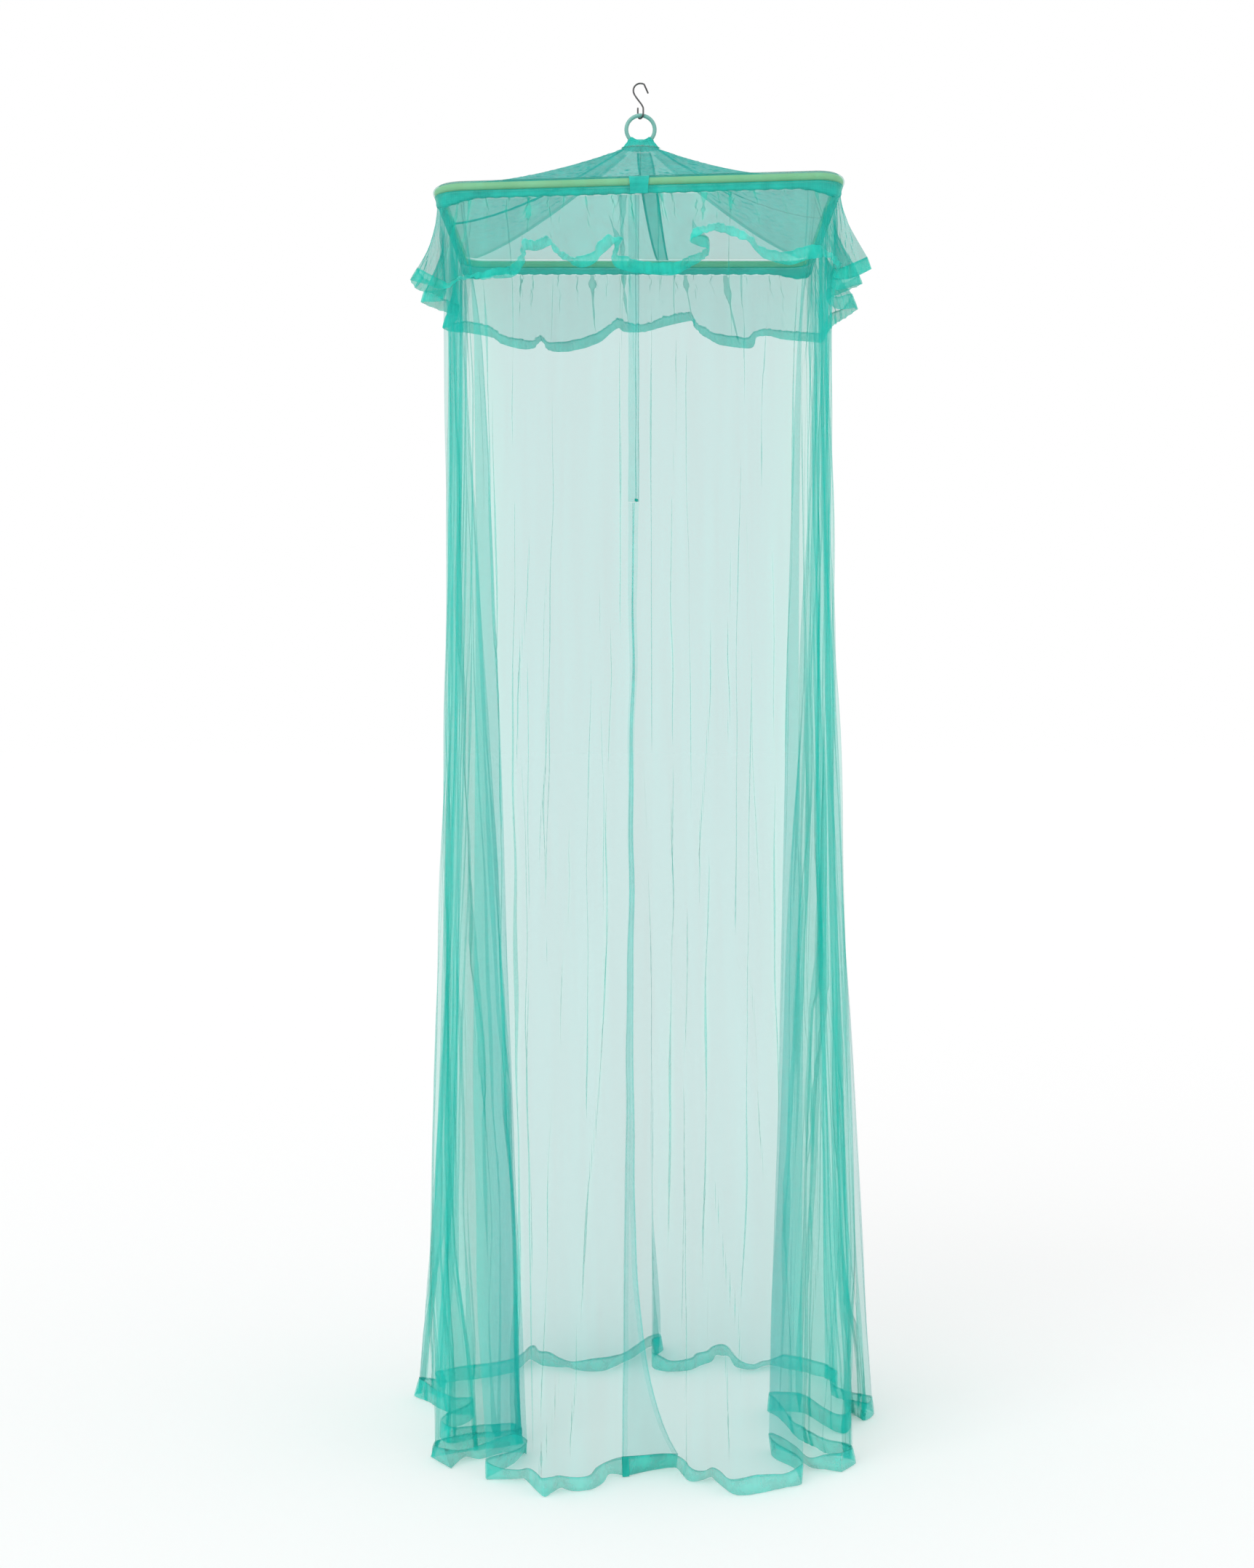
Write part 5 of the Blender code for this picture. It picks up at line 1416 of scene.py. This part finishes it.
def build_frill(net, side_net, hem):
    """The frill on each side and its hem band."""
    count = 900
    front = seen_frill(0, FRONT_FRILL_HEM, False, count)
    rear = seen_frill(2, REAR_FRILL_HEM, True, count)
    meeting = {"right": ((0, front), (-1, rear)), "left": ((0, rear), (-1, front))}
    along = np.linspace(-1, 1, count)
    for side, name in enumerate(SIDES):
        if name == "front":
            anchor, seam, foot = front
        elif name == "rear":
            anchor, seam, foot = rear
        else:
            anchor, seam, foot = side_frill(side, SIDE_FRILL_HEMS[name], count)
            for place, (_, seams, feet) in meeting[name]:
                meet = -1 - place
                corner = 1 if place else -1
                hold = smooth_step(1 - np.abs(along - corner) / CORNER_HOLD)[:, None]
                seam = seam + hold * (seams[meet] - seam[place])
                foot = foot + hold * (feet[meet] - foot[place])
        grid = []
        for d in np.linspace(0, 1, FRILL_ROWS):
            fall = mix(*FRILL_FALLS, smooth_step(anchor[:, 0:1] / FRILL_FALL_EASE))
            bend = anchor - fall * np.array([0, 0, FRILL_LENGTH])
            grid.append((1 - d) ** 2 * anchor + 2 * d * (1 - d) * bend + d * d * seam)
        grid += [mix(seam, foot, 0.5), foot]
        grid = np.array(grid)
        folds = []
        for share, width, reach in FRILL_GATHERS[name]:
            place = (share + 1) / 2 * (count - 1)
            end = reach * FRILL_ROWS
            widths = (width * 0.5, width * 0.12)
            folds.append(fold_between(len(grid), (0, place), (end, place), widths))
        number, seed, *rest = FRILL_SCATTER
        folds += scattered_folds(grid[:, 40:-40], number, seed + side, *rest)
        relief = pleats(90 + side, FRILL_WAVES, frill_rise)
        cloth, squares, painted_glow_share = fold_in(grid, folds, relief, False)
        stuff = net if side in (0, 2) else side_net
        frill = grid_piece(f"frill_cloth_{name}", cloth[:-2], stuff, "net", painted_glow=painted_glow_share[:-2])
        band = hem_band(f"frill_band_{name}", cloth[-3:], squares[-3:], hem, "net")
        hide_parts(f"frill_{name}")
        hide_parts(f"frill_hem_{name}")


# Camera, stage and light

def build_stage():
    """A pale floor and backdrop that read white to the camera and keep the object's shadow."""
    material = bpy.data.materials.new("pale_floor")
    material.use_nodes = True
    tree = material.node_tree
    tree.nodes.clear()
    diffuse = node_of(tree, "BsdfDiffuse", Color=(*FLOOR_COLOUR, 1))
    lit = WORLD_LIGHT
    for _, aim, _, strength in LAMPS:
        lit += strength * -Vector(aim).normalized().z / math.pi
    left_over = (*(1.0 - lit * colour for colour in FLOOR_COLOUR), 1)
    glow = node_of(tree, "Emission", Color=left_over, Strength=seen_rays(tree))
    both = node_of(tree, "AddShader")
    tree.links.new(diffuse.outputs[0], both.inputs[0])
    tree.links.new(glow.outputs[0], both.inputs[1])
    node_of(tree, "OutputMaterial", Surface=both.outputs[0])
    mesh = bpy.data.meshes.new("stage_floor")
    level = FLOOR_Z - STAGE_GAP
    corners = [(x * STAGE_REACH, y * STAGE_REACH, level) for x, y in ((-1, -1), (1, -1), (1, 1), (-1, 1))]
    mesh.from_pydata(corners, [], [(0, 1, 2, 3)])
    mesh.materials.append(material)
    floor = bpy.data.objects.new("stage_floor", mesh)
    bpy.context.scene.collection.objects.link(floor)

    world = bpy.data.worlds.new("soft_studio")
    bpy.context.scene.world = world
    world.use_nodes = True
    tree = world.node_tree
    background = tree.nodes["Background"]
    reach = node_of(tree, "MapRange", To_Min=WORLD_LIGHT, To_Max=1.0, Value=seen_rays(tree))
    background.inputs["Color"].default_value = (1, 1, 1, 1)
    tree.links.new(reach.outputs["Result"], background.inputs["Strength"])


def seen_rays(tree):
    """1 for rays that show the background: from the camera, reflected or through glass."""
    path = node_of(tree, "LightPath")
    seen = path.outputs["Is Camera Ray"]
    for kind in ("Is Glossy Ray", "Is Transmission Ray"):
        either = node_of(tree, "Math")
        either.operation = "MAXIMUM"
        tree.links.new(seen, either.inputs[0])
        tree.links.new(path.outputs[kind], either.inputs[1])
        seen = either.outputs[0]
    return seen


def build_lights():
    """A broad soft key from the upper left and a weak fill from the right, each as even as daylight."""
    for name, aim, spread, strength in LAMPS:
        lamp = bpy.data.lights.new(name, "SUN")
        lamp.angle = math.radians(spread)
        lamp.energy = strength
        obj = bpy.data.objects.new(name, lamp)
        obj.location = -Vector(aim) * 3
        obj.rotation_euler = Vector(aim).to_track_quat("-Z", "Y").to_euler()
        bpy.context.scene.collection.objects.link(obj)


def build_camera():
    """The photograph's view: level, with the frame shifted down a little."""
    data = bpy.data.cameras.new("photo_view")
    data.sensor_width = SENSOR
    data.lens = FOCAL / IMAGE_HEIGHT * SENSOR
    data.shift_y = (HORIZON_Y - IMAGE_HEIGHT / 2) / IMAGE_HEIGHT
    data.clip_end = CLIP_END
    camera = bpy.data.objects.new("photo_view", data)
    camera.location = CAMERA
    camera.rotation_euler = (math.pi / 2, 0, 0)
    bpy.context.scene.collection.objects.link(camera)
    bpy.context.scene.camera = camera


def main():
    scene = bpy.context.scene
    scene.view_settings.view_transform = "Standard"
    scene.cycles.transparent_max_bounces = LAYERS_SEEN_THROUGH

    nets = {name: net_material(f"net_{name}", *look) for name, look in NETS.items()}
    hems = {name: hem_material(f"net_{name}", *look) for name, look in HEMS.items()}
    steel = steel_material()
    teal, lime = (plastic_material(name, *look) for name, look in PLASTICS.items())

    build_hook(steel)
    build_ring(teal)
    build_cuff(hems["gathered"], hems["thread"])
    build_frame(lime)
    build_casing(nets["sleeve"], hems["casing_band"], hems["gathered"])
    build_roof(nets["roof"], nets["roof_rear"], hems["tape"])
    build_frill(nets["frill"], nets["frill_side"], hems["frill_hem"])
    build_walls(nets["wall"], hems["floor_hem"])
    build_door(hems["trim"], hems["edge"], hems["thread"])
    build_stage()
    build_lights()
    build_camera()


main()
